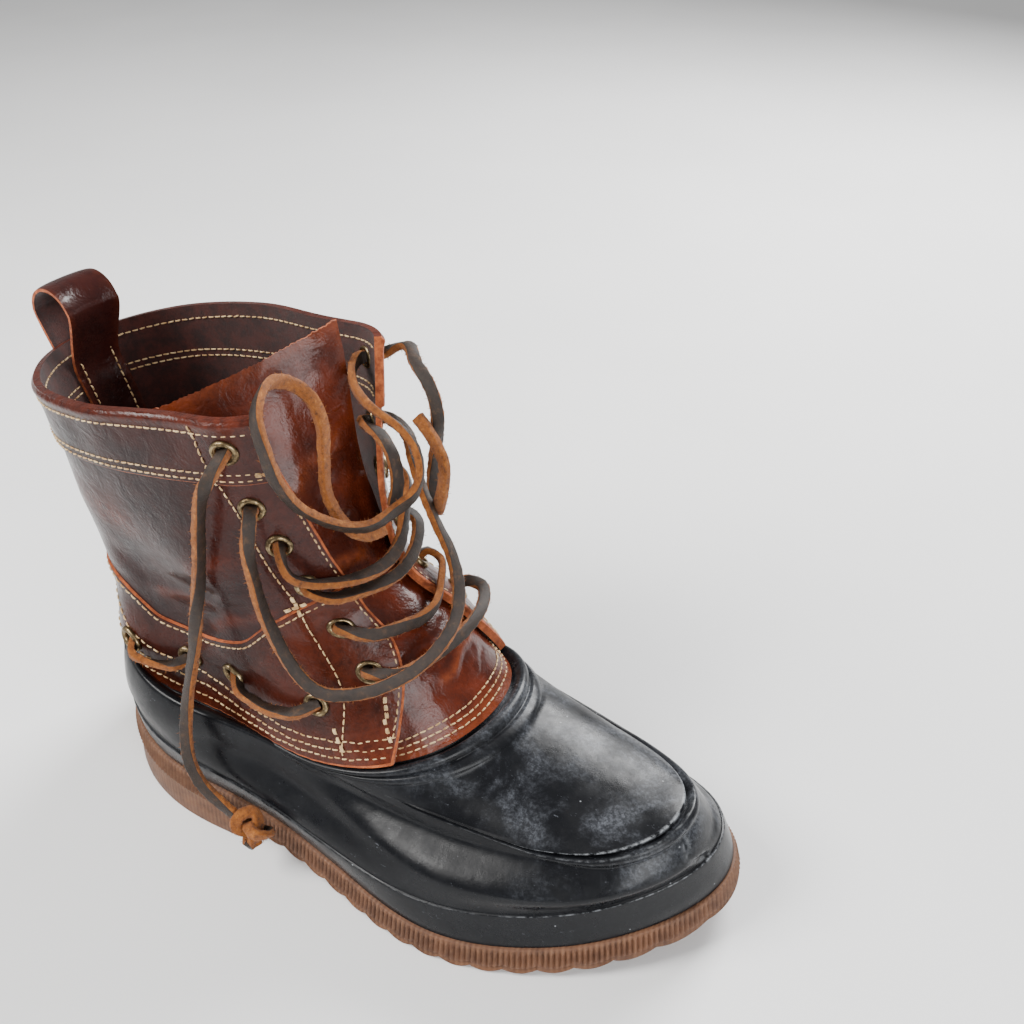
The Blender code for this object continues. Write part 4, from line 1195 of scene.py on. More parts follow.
# %% Shell sizes and rows
LIP_PROUD = 0.0016
FOXING_PROUD = 0.0009
RIM = 0.42
FLANGE_TOP = 0.46
FOXING_TOP = 0.058 * 0.93
FOXING_ROUND = 0.006        # levels that its upper edge takes to round over
FLANGE_STEP = 0.155
FLANGE_EASE = 0.030
RIDGE_LINE = ((0.0, 0.385), (0.30, 0.385), (0.345, 0.340), (0.375, 0.258), (0.42, 0.243), (0.5, 0.247))
SHELL_COLUMNS = 440
PLUG_EDGE = 0.0004
SLOWEST_LEVEL = 0.08        # metres for one level, where the last is nearly flat
LIP_HEIGHT = 0.030          # levels
FLANGE_START = 0.018        # levels below the rim
TOE_SEAM = ((0.483, 0.225), (0.480, 0.15), (0.486, 0.066))
TOE_SEAM_DEPTH = 0.0009
TOE_SEAM_WIDTH = 0.0011
# Section of the moccasin ridge: millimetres below its line, millimetres proud, share of pale scuff.
# A step out, a broad band, its sharp inner edge, a narrow groove, then the edge of the plug.
RIDGE_SECTION = (
    (5.4, 0.0, 0.0), (4.7, 0.15, 0.0), (4.2, 0.60, 0.0), (3.8, 1.30, 0.0), (3.3, 1.95, 0.10),
    (2.5, 2.40, 0.12), (1.5, 2.55, 0.0), (0.6, 2.55, 0.0), (0.0, 2.40, 0.25), (-0.4, 1.60, 0.0),
    (-0.7, 0.30, 0.0), (-1.0, -0.85, 0.0), (-1.35, -1.20, 0.0), (-1.75, -0.95, 0.0),
    (-2.05, 0.0, 0.55), (-2.3, 0.45, 1.0), (-2.6, 0.52, 0.6), (-3.1, 0.45, 0.0),
)
# The lip: share of its height, and how proud. A wide low band, a groove, then a round bead.
LIP_SECTION = (
    (0.00, 0.0), (0.04, 0.30), (0.10, 0.62), (0.20, 0.74), (0.34, 0.74), (0.41, 0.60), (0.45, 0.22),
    (0.49, 0.10), (0.53, 0.30), (0.59, 0.86), (0.68, 1.16), (0.78, 1.24), (0.88, 1.08), (0.96, 0.70),
    (1.0, 0.20),
)


def folded(turn):
    """How far a turn lies from the back, on either side: 0 to 0.5."""
    return np.minimum(turn % 1.0, 1 - turn % 1.0)


def flange_depth(turn):
    """The flange lies deeper at the front, where tongue and quarters both cover it."""
    deep = np.clip((FLANGE_STEP - folded(turn + 0.5)) / FLANGE_EASE, 0, 1)
    return LEATHER_WALL + GAP + deep * (TONGUE_LAY + TONGUE_WALL + 2 * GAP)


def spaced(low, high, count):
    """Even shares without the last one."""
    return [low + (high - low) * i / count for i in range(count)]


def shell_rows(turns):
    """Rows of the shell from the foot up: level, how proud, and share of pale scuff."""
    flat = 0 * turns
    ridge = column(RIDGE_LINE, folded(turns))
    strong = ramp(0.338, 0.350, folded(turns))
    millimetre = 0.001 / np.maximum(speeds(turns, ridge)[1], SLOWEST_LEVEL)
    rows = []
    for share in spaced(0, 1, 8):
        rows.append((FOXING_TOP * share, FOXING_PROUD * (0.6 + 0.4 * min(1.0, share * 4)), 0.0))
    for share, proud, pale in ((0.0, 1.0, 0.0), (0.25, 0.95, 0.75), (0.5, 0.35, 0.0), (0.75, 0.0, 0.0)):
        rows.append((FOXING_TOP + FOXING_ROUND * share, FOXING_PROUD * proud, pale))
    side_start = FOXING_TOP + FOXING_ROUND
    side_end = ridge - millimetre * RIDGE_SECTION[0][0]
    for share in spaced(0, 1, 30):
        rows.append((side_start + (side_end - side_start) * share, 0.0, 0.0))
    for below, rise, pale in RIDGE_SECTION:
        rows.append((ridge - millimetre * below, rise / 1000 * strong, pale))
    plug_start = ridge - millimetre * RIDGE_SECTION[-1][0]
    plug_end = RIM - LIP_HEIGHT
    for share in spaced(0.03, 1, 24):
        fade = 1 - ramp(0.0, 0.25, share)
        rows.append((plug_start + (plug_end - plug_start) * share, PLUG_EDGE * strong * fade, 0.0))
    for share, proud in LIP_SECTION:
        rows.append((plug_end + LIP_HEIGHT * share, LIP_PROUD * proud, 0.0))
    rows.append((RIM + 0.0008, -flange_depth(turns), 0.0))
    rows.append((FLANGE_TOP, -flange_depth(turns), 0.0))
    return [np.stack([value + flat for value in values]) for values in zip(*rows)]


def make_shell():
    """Outside and inside of the shell, joined at the rim and the foot."""
    turns = even_turns(SHELL_COLUMNS)
    levels, proud, scuff = shell_rows(turns)
    wide = np.broadcast_to(turns, levels.shape)
    seam = distance_to(last_point(wide, levels), last_point(*follow(TOE_SEAM, 0.0008)))
    proud = proud - TOE_SEAM_DEPTH * mound(seam, TOE_SEAM_WIDTH)
    scuff = scuff + 0.35 * mound(seam - 0.0014, 0.0008)
    scuff = scuff * (0.25 + 0.75 * ramp(0.33, 0.40, folded(wide))) * 0.8
    # The grey film is weighted to the upward faces of the toe: partly real bloomed film, partly a painted
    # highlight where the tops catch the light.
    top_face = last_normal(wide, levels)[..., 2]
    bloom_and_highlight = 0.05 + 0.95 * ramp(0.25, 0.85, top_face) * ramp(0.33, 0.42, folded(wide))
    outer = skin(wide, levels, proud)
    depth = np.where(levels < RIM - FLANGE_START, RUBBER_WALL, flange_depth(turns) + FLANGE_WALL)
    inner = skin(wide, levels, -depth)
    for foot in (outer[0], inner[0]):
        foot[:, 2] = sole_top(foot[:, 0] + HEEL_CENTRE)
    piece = walled_piece("rubber_shell", outer, inner, [RUBBER, RUBBER, RUBBER], ["shell"], True,
                         fields={"scuff": scuff, "bloom_and_highlight": bloom_and_highlight}, sharp=60)
    return piece


shell = make_shell()
print("shell faces:", len(shell.data.polygons))

# %% [markdown]
# ## The insole
# A felt footbed lies on the sole inside the shell. It shows only from above, down in the shaft,
# with a rounded edge and a hollow where a heel has pressed it.

# %% Insole
INSOLE_COLUMNS = 120
INSOLE_RINGS = 10
HEEL_HOLLOW = 0.0006


def make_insole():
    """A thin felt pad with a rounded edge."""
    turns = even_turns(INSOLE_COLUMNS)
    edge = skin(turns, 0.0, -(RUBBER_WALL + 4 * GAP))
    lateral = edge[:len(turns) // 2 + 1]
    medial = edge[opposite(len(turns))]
    share = (1 - np.cos(np.linspace(0, math.pi, INSOLE_RINGS * 2 + 1))) / 2
    grid = lateral[None] * (1 - share)[:, None, None] + medial[None] * share[:, None, None]
    base = sole_top(grid[..., 0] + HEEL_CENTRE)
    rim = ramp(0.0, 0.06, np.minimum(share, 1 - share))[:, None]
    hollow = HEEL_HOLLOW * mound(np.linalg.norm(grid[..., :2], axis=-1), 0.030)
    outer = grid.copy()
    outer[..., 2] = base + INSOLE_WALL * (0.45 + 0.55 * rim) - hollow
    inner = grid.copy()
    inner[..., 2] = base
    inside = np.s_[:, 1:-1]
    piece = walled_piece("felt_insole", outer[inside][::-1], inner[inside][::-1],
                         [FELT, FELT, FELT], ["insole"])
    return piece


insole = make_insole()
print("insole faces:", len(insole.data.polygons))

# %% [markdown]
# ## The quarters
# The shaft is two quarters of waxed leather, sewn up the back. A saddle panel covers the lower
# part and a folded band the top, each one thickness of leather proud of what lies under. The
# grid's rows follow the panel's top line and the band's lower line, and its columns
# follow the front edge, so every cut edge is a clean row of faces with its own raw finish.
# The holes are left out of the grid, which makes them real holes for the lace.

# %% Quarters: lines and creases
THROAT_EDGE = ((0.4245, 0.388), (0.47, 0.412), (0.53, 0.436), (0.61, 0.452), (0.72, 0.450),
               (0.82, 0.440), (0.90, 0.427), (0.95, 0.418), (1.0, 0.415))
LEATHER_FOOT = 0.4245
QUARTER_COLUMNS = 268
FRONT_TRIM = 0.0065         # share of a quarter that its bevelled raw front edge takes
FRONT_BEVEL = 0.0005
FRONT_REACH = 0.44          # a first guess of the front edge's turn, to find its rows' levels
HOLE_RADIUS = 0.0038
BEAD_PROUD = 0.0007
BEAD_DOWN = 0.0022          # from the collar's edge to the middle of its bead
BEAD_WIDTH = 0.0019
FACING_PUFF = 0.00035
PUCKER_DEPTH = 0.00025
LINING_LIFE = 0.9           # share of the outside's creases that shows inside
RAW_CELLS = 2               # places of the finishes in the quarters' list
PANEL_CELLS = 3

FACING_SEAM = ((0.343, 0.990), (0.350, 0.943), (0.365, 0.880), (0.380, 0.733), (0.378, 0.593), (0.372, 0.520),
               (0.352, 0.450))
# Creases that feet and hands have pressed in: two ends (turn, level), width and depth in millimetres.
# A positive depth is a ridge.
CREASES = (
    ((0.185, 0.770), (0.250, 0.800), 5.0, -0.55),
    ((0.200, 0.735), (0.285, 0.745), 4.5, -0.70),
    ((0.215, 0.700), (0.300, 0.690), 4.0, 0.55),
    ((0.240, 0.665), (0.320, 0.700), 3.6, -0.55),
    ((0.268, 0.640), (0.345, 0.690), 3.2, 0.50),
    ((0.290, 0.735), (0.345, 0.770), 3.4, -0.45),
    ((0.285, 0.800), (0.340, 0.830), 4.2, 0.40),
    ((0.110, 0.800), (0.190, 0.775), 6.5, -0.50),
    ((0.090, 0.870), (0.210, 0.860), 9.0, 0.50),
    ((0.350, 0.640), (0.372, 0.600), 2.6, -0.40),
    ((0.390, 0.690), (0.432, 0.672), 2.4, -0.35),
    ((0.385, 0.600), (0.395, 0.575), 2.2, -0.30),
    ((-0.200, 0.740), (-0.300, 0.720), 4.4, -0.65),
    ((-0.220, 0.700), (-0.320, 0.700), 4.0, 0.50),
    ((-0.110, 0.800), (-0.200, 0.760), 6.0, -0.50),
    ((-0.300, 0.800), (-0.350, 0.770), 3.6, -0.40),
)


def crease_field(turn, v, place, creases):
    """Soft troughs and ridges between the given ends."""
    result = np.zeros(turn.shape)
    for start, end, width, depth in creases:
        middle = ((start[0] + end[0]) / 2, (start[1] + end[1]) / 2 + 0.006)
        knots = follow((start, middle, end), 0.003)
        line = last_point(*knots)
        near = (np.abs(turn - middle[0]) < 0.09) & (np.abs(v - middle[1]) < 0.11)
        away = np.full(turn.shape, 1.0)
        away[near] = distance_to(place[near], line)
        result += depth / 1000 * mound(away, width / 1000)
    return result


def soft_swell(place):
    """Slow waves in the leather, so that no highlight is ruler straight."""
    x, y, z = place[..., 0], place[..., 1], place[..., 2]
    wave = np.sin(x * 92 + z * 61 + 0.7) * np.sin(y * 83 - z * 47 + 2.1)
    small = np.sin(x * 210 - z * 170 + y * 60 + 1.3) * np.sin(z * 190 + y * 120)
    return 0.00035 * wave + 0.00012 * small


def quarter_lines(turn):
    """Level of the panel's top line at each turn, either side."""
    return column(PANEL_LINE, np.abs(turn))


def quarter_proud(turn, v):
    """How far the outside of the quarters stands from the last, creases left out."""
    line = quarter_lines(turn)
    per_level = speeds(turn, v)[1]
    over_line = (v - line) * per_level
    over_cuff = (v - CUFF_LINE) * per_level
    panel = OVERLAY * (1 - ramp(-0.0001, 0.0003, over_line))
    cuff = OVERLAY * ramp(-0.0003, 0.0001, over_cuff)
    collar = (1.0 - v) * per_level
    bead = BEAD_PROUD * mound(collar - BEAD_DOWN, BEAD_WIDTH)
    roll = -OVERLAY * 0.7 * mound(collar, 0.0010)
    return panel + cuff + bead + roll


# %% Quarters: the grid


def quarter_row_list():
    """Rows as (kind, amount): shares of the panel, of the shaft above it, or of the band."""
    rows = [("panel", s) for s in np.linspace(0, 0.985, 62)]
    rows += [("panel", 1.0), ("above", 0.0003), ("above", 0.0007)]
    rows += [("shaft", s) for s in np.linspace(0.018, 0.985, 74)]
    rows += [("under", 0.0003), ("under", 0.0), ("band", 0.012)]
    rows += [("band", s) for s in np.linspace(0.05, 0.90, 26)]
    rows += [("band", s) for s in (0.925, 0.945, 0.965, 0.980, 0.992, 1.0)]
    return rows


def row_level(kind, amount, turn):
    """Level of a row at a turn."""
    line = quarter_lines(turn)
    if kind == "panel":
        return LEATHER_FOOT + (line - LEATHER_FOOT) * amount
    if kind == "above":
        return raised(turn, line, amount)
    if kind == "shaft":
        return line + (CUFF_LINE - line) * amount
    if kind == "under":
        return raised(turn, CUFF_LINE + 0 * turn, -amount)
    return CUFF_LINE + (1 - CUFF_LINE) * amount + 0 * turn


def eyelet_places():
    """Turn and level of every eyelet, both sides."""
    both = []
    for sign in (1, -1):
        both += [(sign * turn, v) for turn, v in LACE_EYELETS + SIDE_EYELETS]
    return both


def punched(place, keep):
    """Leaves out the cells that lie in an eyelet's hole."""
    middle = (place[:-1, :-1] + place[1:, 1:]) / 2
    for turn, v in eyelet_places():
        centre = last_point(turn, v)
        keep &= np.linalg.norm(middle - centre, axis=-1) > HOLE_RADIUS
    return keep


def quarter_grid():
    """Turn and level of every point of the quarters, and the kind of each row."""
    spread = np.linspace(-1, 1, QUARTER_COLUMNS + 1)
    spread[1] = FRONT_TRIM - 1
    spread[-2] = 1 - FRONT_TRIM
    rows = quarter_row_list()
    turns = []
    levels = []
    for kind, amount in rows:
        rough = row_level(kind, amount, spread * FRONT_REACH)
        turn = spread * column(THROAT_EDGE, rough)
        turns.append(turn)
        levels.append(row_level(kind, amount, turn))
    return np.stack(turns), np.stack(levels), [kind for kind, amount in rows]


def quarter_finishes(kinds, shape):
    """Each cell's finish: the panel's leather, raw where a layer steps down, else the shaft's."""
    finish = np.zeros(shape, int)
    panel_top = kinds.index("above")
    finish[:panel_top - 1] = PANEL_CELLS
    finish[panel_top - 1:panel_top + 1] = RAW_CELLS
    finish[0] = RAW_CELLS
    band = kinds.index("band")
    finish[band - 2:band] = RAW_CELLS
    finish[:, (0, -1)] = RAW_CELLS
    return finish


def seam_relief(turn, v, place):
    """The facing's puff with its sewn-in line, and the puckers along the rows at the foot."""
    facing = [last_point(*follow([(sign * t, l) for t, l in FACING_SEAM], 0.002)) for sign in (1, -1)]
    seam = distance_to(place, np.concatenate(facing))
    seam_turns, seam_levels = zip(*reversed(FACING_SEAM))
    front = np.abs(turn) - np.interp(v, seam_levels, seam_turns)
    puff = FACING_PUFF * ramp(0, 0.02, front) - 0.0003 * mound(seam, 0.0009)
    foot_away = (v - LEATHER_FOOT) * speeds(turn, v)[1]
    pucker = PUCKER_DEPTH * np.sin(place[..., 0] * 900 + foot_away * 300)
    pucker = pucker * ramp(0.016, 0.010, foot_away) * ramp(0.46, 0.10, np.abs(turn))
    return puff, pucker, foot_away


def make_quarters():
    """Both quarters with panel, band, collar, creases and holes."""
    turn, v, kinds = quarter_grid()
    place = last_point(turn, v)
    creases = crease_field(turn, v, place, CREASES)
    puff, pucker, foot_away = seam_relief(turn, v, place)
    calm = ramp(0.0, 0.004, foot_away) * ramp(0, 0.02, column(THROAT_EDGE, v) - np.abs(turn))
    life = (soft_swell(place) + creases) * (0.25 + 0.75 * calm)
    bevel = np.zeros(QUARTER_COLUMNS + 1)
    bevel[[0, -1]] = FRONT_BEVEL
    outer = skin(turn, v, quarter_proud(turn, v) + life + puff + pucker - bevel)
    inner = skin(turn, v, -LEATHER_WALL + life * LINING_LIFE)
    keep = punched(place, np.ones((len(kinds) - 1, QUARTER_COLUMNS), bool))
    rub = ramp(0.25, 0.42, np.abs(turn)) * 0.35 + 0.55 * mound(np.abs(v - 1.0), 0.012)
    rub += 0.5 * np.clip(creases / 0.0005, 0, 1) + 0.25 * ramp(0.020, 0.0, foot_away)
    made = walled_piece("leather_quarters", outer, inner, [OXBLOOD, LINING, RAW_EDGE, PANEL], ["quarters"],
                        keep=keep, cell_finish=quarter_finishes(kinds, keep.shape),
                        fields={"wear": np.clip(rub, 0, 1)}, sharp=48, top_finish=0)
    return made


quarters = make_quarters()
print("quarters faces:", len(quarters.data.polygons))

# %% [markdown]
# ## Vamp and tongue
# One piece of leather makes the vamp, which shows between the quarters above the rubber, and the
# tongue, which stands up out of the throat with a raw top edge. It is the glossiest leather on
# the boot, and it wrinkles where the instep bends. Two short slits on the tongue keep the lace.

# %% Vamp and tongue
TONGUE_COLUMNS = ("v", "lateral", "medial", "in_lateral", "in_medial", "free", "bow")
TONGUE_ROWS = (
    (0.425, 0.372, 0.628, 0.000, 0.000, 0.00, 0.000),
    (0.470, 0.385, 0.615, 0.000, 0.000, 0.00, 0.000),
    (0.560, 0.395, 0.605, 0.003, 0.003, 0.05, 0.010),
    (0.680, 0.395, 0.605, 0.006, 0.008, 0.25, 0.020),
    (0.790, 0.380, 0.606, 0.014, 0.022, 0.65, 0.030),
    (0.890, 0.340, 0.598, 0.045, 0.050, 0.95, 0.040),
    (0.960, 0.290, 0.590, 0.090, 0.080, 1.00, 0.035),
    (1.020, 0.245, 0.581, 0.130, 0.112, 1.00, 0.030),
)
TONGUE_TIP_DROP = 0.055     # the top edge falls this much (in v) from medial to lateral
TONGUE_ACROSS = 90
TONGUE_UP = 260
# Wrinkles of the vamp and tongue: two ends (share across, share up), width and depth in millimetres
WRINKLES = (
    ((-0.35, 0.085), (0.30, 0.115), 1.6, -0.45),
    ((-0.25, 0.115), (0.42, 0.140), 1.8, 0.40),
    ((-0.40, 0.150), (0.35, 0.165), 1.5, -0.45),
    ((-0.10, 0.060), (0.45, 0.085), 1.4, -0.35),
    ((0.05, 0.175), (0.55, 0.190), 1.6, 0.35),
    ((-0.50, 0.200), (0.20, 0.215), 1.7, -0.40),
    ((-0.55, 0.620), (0.35, 0.660), 3.2, -0.55),
    ((-0.65, 0.560), (0.10, 0.545), 2.8, 0.50),
    ((-0.30, 0.720), (0.50, 0.760), 3.0, -0.45),
    ((-0.10, 0.800), (0.60, 0.830), 3.4, 0.40),
    ((-0.70, 0.500), (-0.05, 0.480), 2.4, -0.45),
)
TONGUE_SLITS = (((0.46, 0.80), (0.84, 0.79)), ((0.46, 0.865), (0.84, 0.855)))
RAGGED_SEED = 5             # for the cells by which the raw top edge falls short
RAGGED_DEPTH = 0.9
SLIT_DEPTH = 0.0009
SLIT_WIDTH = 0.0011


def tongue_sheet(across, share):
    """Outer face of the vamp and tongue, for shares across (-1 lateral, 1 medial) and up (0 to 1).
    Low down it follows the wall, and higher up it hangs between its two edges, bowed forward."""
    levels = [row[0] for row in TONGUE_ROWS]
    values = [row[1:] for row in TONGUE_ROWS]
    base = levels[0] + (levels[-1] - levels[0]) * share
    read = smooth(levels, values, base)
    row = {name: read[..., i] for i, name in enumerate(TONGUE_COLUMNS[1:])}
    depth = LEATHER_WALL + GAP + TONGUE_LAY
    low = base - TONGUE_TIP_DROP * share ** 2
    left = skin(row["lateral"], low, -depth - row["in_lateral"] * BALL_WIDTH)
    right = skin(row["medial"], base, -depth - row["in_medial"] * BALL_WIDTH)
    half = (across + 1) / 2
    inset = row["in_lateral"] + (row["in_medial"] - row["in_lateral"]) * half
    turn = row["lateral"] + (row["medial"] - row["lateral"]) * half
    wall = skin(turn, low + (base - low) * half, -depth - inset * BALL_WIDTH)
    run = right - left
    ahead = np.stack([run[..., 1], -run[..., 0], np.zeros(share.shape)], -1)
    ahead /= np.linalg.norm(ahead, axis=-1, keepdims=True)
    bow = row["bow"] * BALL_WIDTH * (1 - across ** 2)
    chord = left + run * half[..., None] + ahead * bow[..., None]
    return wall + (chord - wall) * row["free"][..., None]


def grid_normals(points):
    """Outward directions of a grid whose rows climb and whose columns go round the boot."""
    normal = np.cross(np.gradient(points, axis=1), np.gradient(points, axis=0))
    return normal / np.linalg.norm(normal, axis=-1, keepdims=True)


def tongue_point(across, share, lift=0.0):
    """Point on the tongue's outer face, lifted off it."""
    across, share = np.broadcast_arrays(np.asarray(across, float), np.asarray(share, float))
    small = 0.004
    point = tongue_sheet(across, share)
    beside = tongue_sheet(across + small, share) - point
    above = tongue_sheet(across, share + small) - point
    normal = np.cross(beside, above)
    normal /= np.linalg.norm(normal, axis=-1, keepdims=True)
    return point + normal * np.asarray(lift)[..., None]


def tongue_distance(place, start, end, parts, sway=0.0):
    """Distance of each place from a swaying line between two (share across, share up) ends."""
    step = np.linspace(0, 1, parts)
    wave = sway * np.sin(step * 7 + start[1] * 30)
    line = tongue_point(start[0] + (end[0] - start[0]) * step, start[1] + (end[1] - start[1]) * step + wave)
    return distance_to(place, line)


def make_tongue():
    """The vamp and tongue sheet, wrinkled, with a raw edge and lace slits."""
    across, share = np.meshgrid(np.linspace(-1, 1, TONGUE_ACROSS + 1), np.linspace(0, 1, TONGUE_UP + 1))
    share[-1] -= np.random.default_rng(RAGGED_SEED).random(TONGUE_ACROSS + 1) * RAGGED_DEPTH / TONGUE_UP
    place = tongue_point(across, share)
    life = np.zeros(across.shape)
    for start, end, width, depth in WRINKLES:
        life += depth / 1000 * mound(tongue_distance(place, start, end, 30, 0.008), width / 1000)
    wavy = 0.0009 * np.sin(across * 3.1 + share * 9) * ramp(0.45, 0.8, share)
    calm = ramp(0.0, 0.05, share) * (1 - ramp(0.75, 0.95, np.abs(across)) * (1 - ramp(0.5, 0.7, share)))
    slit = np.zeros(across.shape)
    for start, end in TONGUE_SLITS:
        slit += SLIT_DEPTH * mound(tongue_distance(place, start, end, 20), SLIT_WIDTH)
    outer = tongue_point(across, share, (life + wavy + soft_swell(place)) * calm - slit)
    inner = outer - grid_normals(outer) * TONGUE_WALL
    rub = 0.35 * mound(np.abs(across) - 1, 0.06) + 0.4 * mound(share - 1, 0.02)
    rub += 0.6 * np.clip(life / 0.0004, 0, 1)
    rub += 0.5 * ramp(0.05, 0.0, share)
    made = walled_piece("leather_tongue", outer, inner, [VAMP, LINING, RAW_EDGE], ["vamp_tongue"],
                        fields={"wear": np.clip(rub, 0, 1)}, sharp=50)
    return made


tongue = make_tongue()
print("tongue faces:", len(tongue.data.polygons))

# %% [markdown]
# ## Backstay and pull loop
# One strap covers the back seam, stands up over the collar in a loop to pull the boot on by, and
# goes down inside, where it is sewn with a box of stitches. The strap is drawn as a
# line of stations, each with its near and far face, and read again at even steps with the same
# curve that the lace uses, so the loop is round.

# %% Pull loop
STRAP_WIDTH = 0.025
STRAP_WALL = 0.0020
LOOP_RISE = 0.026
LOOP_LENGTH = 0.024
LOOP_OFFSET = 0.003
STRAP_ACROSS = 20
COLLAR_TURN = 2 * math.pi * LAST_ROWS[-1][8] * BALL_WIDTH
STRAP_TURNS = (-LOOP_OFFSET + np.linspace(-STRAP_WIDTH / 2, STRAP_WIDTH / 2, STRAP_ACROSS + 1)) / COLLAR_TURN
OUTSIDE_LEVELS = (0.46, 0.50, 0.55, 0.60, 0.64, 0.69, 0.73, 0.80, 0.87, 0.93, 0.985)
LOOP_ANGLES = (200, 170, 140, 110, 80, 50, 20, -10)
INSIDE_LEVELS = (0.97, 0.93, 0.88, 0.83)


def strap_stations():
    """Near and far faces of the strap, from its foot up, over the collar and down inside."""
    near = []
    far = []
    outside = OVERLAY + GAP
    for v in OUTSIDE_LEVELS:
        near.append(skin(STRAP_TURNS, v, outside))
        far.append(skin(STRAP_TURNS, v, outside + STRAP_WALL))
    radius = LOOP_LENGTH / 2
    centre = skin(STRAP_TURNS, 1.0, -LEATHER_WALL / 2) + np.array([0.0, 0.0, LOOP_RISE - radius])
    for degrees in LOOP_ANGLES:
        way = np.array([math.cos(math.radians(degrees)), 0, math.sin(math.radians(degrees))])
        near.append(centre + way * (radius - STRAP_WALL))
        far.append(centre + way * radius)
    inside = -LEATHER_WALL - GAP
    for v in INSIDE_LEVELS:
        near.append(skin(STRAP_TURNS, v, inside))
        far.append(skin(STRAP_TURNS, v, inside - STRAP_WALL))
    return np.stack(near), np.stack(far)


def finer(stations, parts):
    """Catmull-Rom through whole stations."""
    flat = catmull(stations.reshape(len(stations), -1), parts)
    return flat.reshape(-1, *stations.shape[1:])


def make_pull_loop():
    """The strap with softened edges and a raw rim."""
    near, far = (finer(face, 8) for face in strap_stations())
    across = np.linspace(-1, 1, STRAP_ACROSS + 1)
    middle = (near + far) / 2
    thin = (1 - 0.35 * np.abs(across) ** 8)[None, :, None]
    wear = np.broadcast_to(0.15 + 0.5 * np.abs(across) ** 6, near.shape[:2])
    made = walled_piece("strap_pull_loop", middle + (far - middle) * thin, middle + (near - middle) * thin,
                        [STRAP, LINING, RAW_EDGE], ["pull_loop"], fields={"wear": wear}, sharp=55)
    return made


pull_loop = make_pull_loop()
print("pull loop faces:", len(pull_loop.data.polygons))

# %% [markdown]
# ## Brass eyelets
# An eyelet is a thin tube pushed through the leather and rolled over on both faces. It could be
# lathed with a Screw modifier, but a flat ring would stand off the curved leather on two
# sides. Here each point of the ring is placed on the last, so the ring beds down on the curve.

# %% Eyelets
RING_SIDES = 36
# Radius and height of the outer ring's section, in millimetres: up the tube, over the roll, down
# to the leather
RING_SECTION = ((2.75, 0.2), (2.95, 0.75), (3.35, 1.15), (3.9, 1.3), (4.5, 1.15), (4.95, 0.75),
                (5.15, 0.25), (5.15, -0.35), (3.6, -0.45))
# The same for the smaller rolled rim inside the boot, its height measured from the lining
INSIDE_SECTION = ((3.6, 0.3), (4.7, 0.2), (4.75, -0.3), (4.3, -0.75), (3.6, -0.95), (3.0, -0.7),
                  (2.75, -0.1))


def make_eyelet(name, node, turn, v):
    """A rolled brass ring with its tube, bedded on the leather."""
    proud = leather_proud(turn, v) + EYELET_SEAT
    per_turn, per_level = speeds(np.float64(turn), np.float64(v))
    angle = 2 * math.pi * np.arange(RING_SIDES) / RING_SIDES
    section = list(RING_SECTION)
    section += [(r, h - (proud + LEATHER_WALL) * 1000) for r, h in INSIDE_SECTION]
    radius = np.array([r for r, h in section]) / 1000
    height = np.array([h for r, h in section]) / 1000
    wide = np.cos(angle)[:, None] * radius[None]
    tall = np.sin(angle)[:, None] * radius[None]
    grid = skin(turn + wide / per_turn, v + tall / per_level, np.broadcast_to(proud + height, wide.shape))
    count = len(section)
    index = np.arange(RING_SIDES * count).reshape(RING_SIDES, count)
    beside = np.roll(index, -1, axis=0)
    above = np.roll(index, -1, axis=1)
    both = np.roll(beside, -1, axis=1)
    faces = np.stack([index, beside, both, above], -1).reshape(-1, 4)
    made = add_piece(name, grid.reshape(-1, 3), faces, [BRASS], None, None, 50, [node])


EYELET_ROWS = (("ring", "lace_eyelet", LACE_EYELETS), ("side_ring", "side_eyelet", SIDE_EYELETS))
for side, sign in (("lateral", 1), ("medial", -1)):
    for prefix, node, places in EYELET_ROWS:
        for number, (turn, v) in enumerate(places, 1):
            make_eyelet(f"{prefix}_{side}_{number}", f"{node}_{side}_{number}", sign * turn, v)
print("eyelets:", 2 * (len(LACE_EYELETS) + len(SIDE_EYELETS)))

# %% [markdown]
# ## Stitches
# Each stitch is a short fat thread that dives into the leather at both ends. One small template
# is copied along every seam in one go with arrays, and the stitches of a seam group become one
# mesh. Array modifiers on curves would work as well, but every stitch here also leans and
# varies a little, as hand-guided ones do.

# %% Stitch helper
STITCH_PITCH = 0.0033
STITCH_LENGTH = 0.0027
STITCH_RADIUS = 0.00036
STITCH_SIDES = 6
STITCH_LEAN = 0.07
STITCH_UNEVEN = 0.05
# One stitch: share along it, share of its radius, and how far it rises in radii
STITCH_STATIONS = ((-0.5, 0.35, -0.9), (-0.42, 0.85, -0.1), (-0.2, 1.0, 0.55), (0.2, 1.0, 0.55),
                   (0.42, 0.85, -0.1), (0.5, 0.35, -0.9))
stitch_random = np.random.default_rng(75)


def stitch_template():
    """Points (along, side, up) of one stitch of unit length and radius, and its faces."""
    points = []
    for along_share, thick, rise in STITCH_STATIONS:
        for i in range(STITCH_SIDES):
            angle = 2 * math.pi * i / STITCH_SIDES
            points.append((along_share, thick * math.cos(angle), rise + thick * math.sin(angle)))
    faces = []
    for ring in range(len(STITCH_STATIONS) - 1):
        for i in range(STITCH_SIDES):
            a = ring * STITCH_SIDES + i
            b = ring * STITCH_SIDES + (i + 1) % STITCH_SIDES
            faces.append((a, a + STITCH_SIDES, b + STITCH_SIDES, b))
    return np.array(points), np.array(faces)


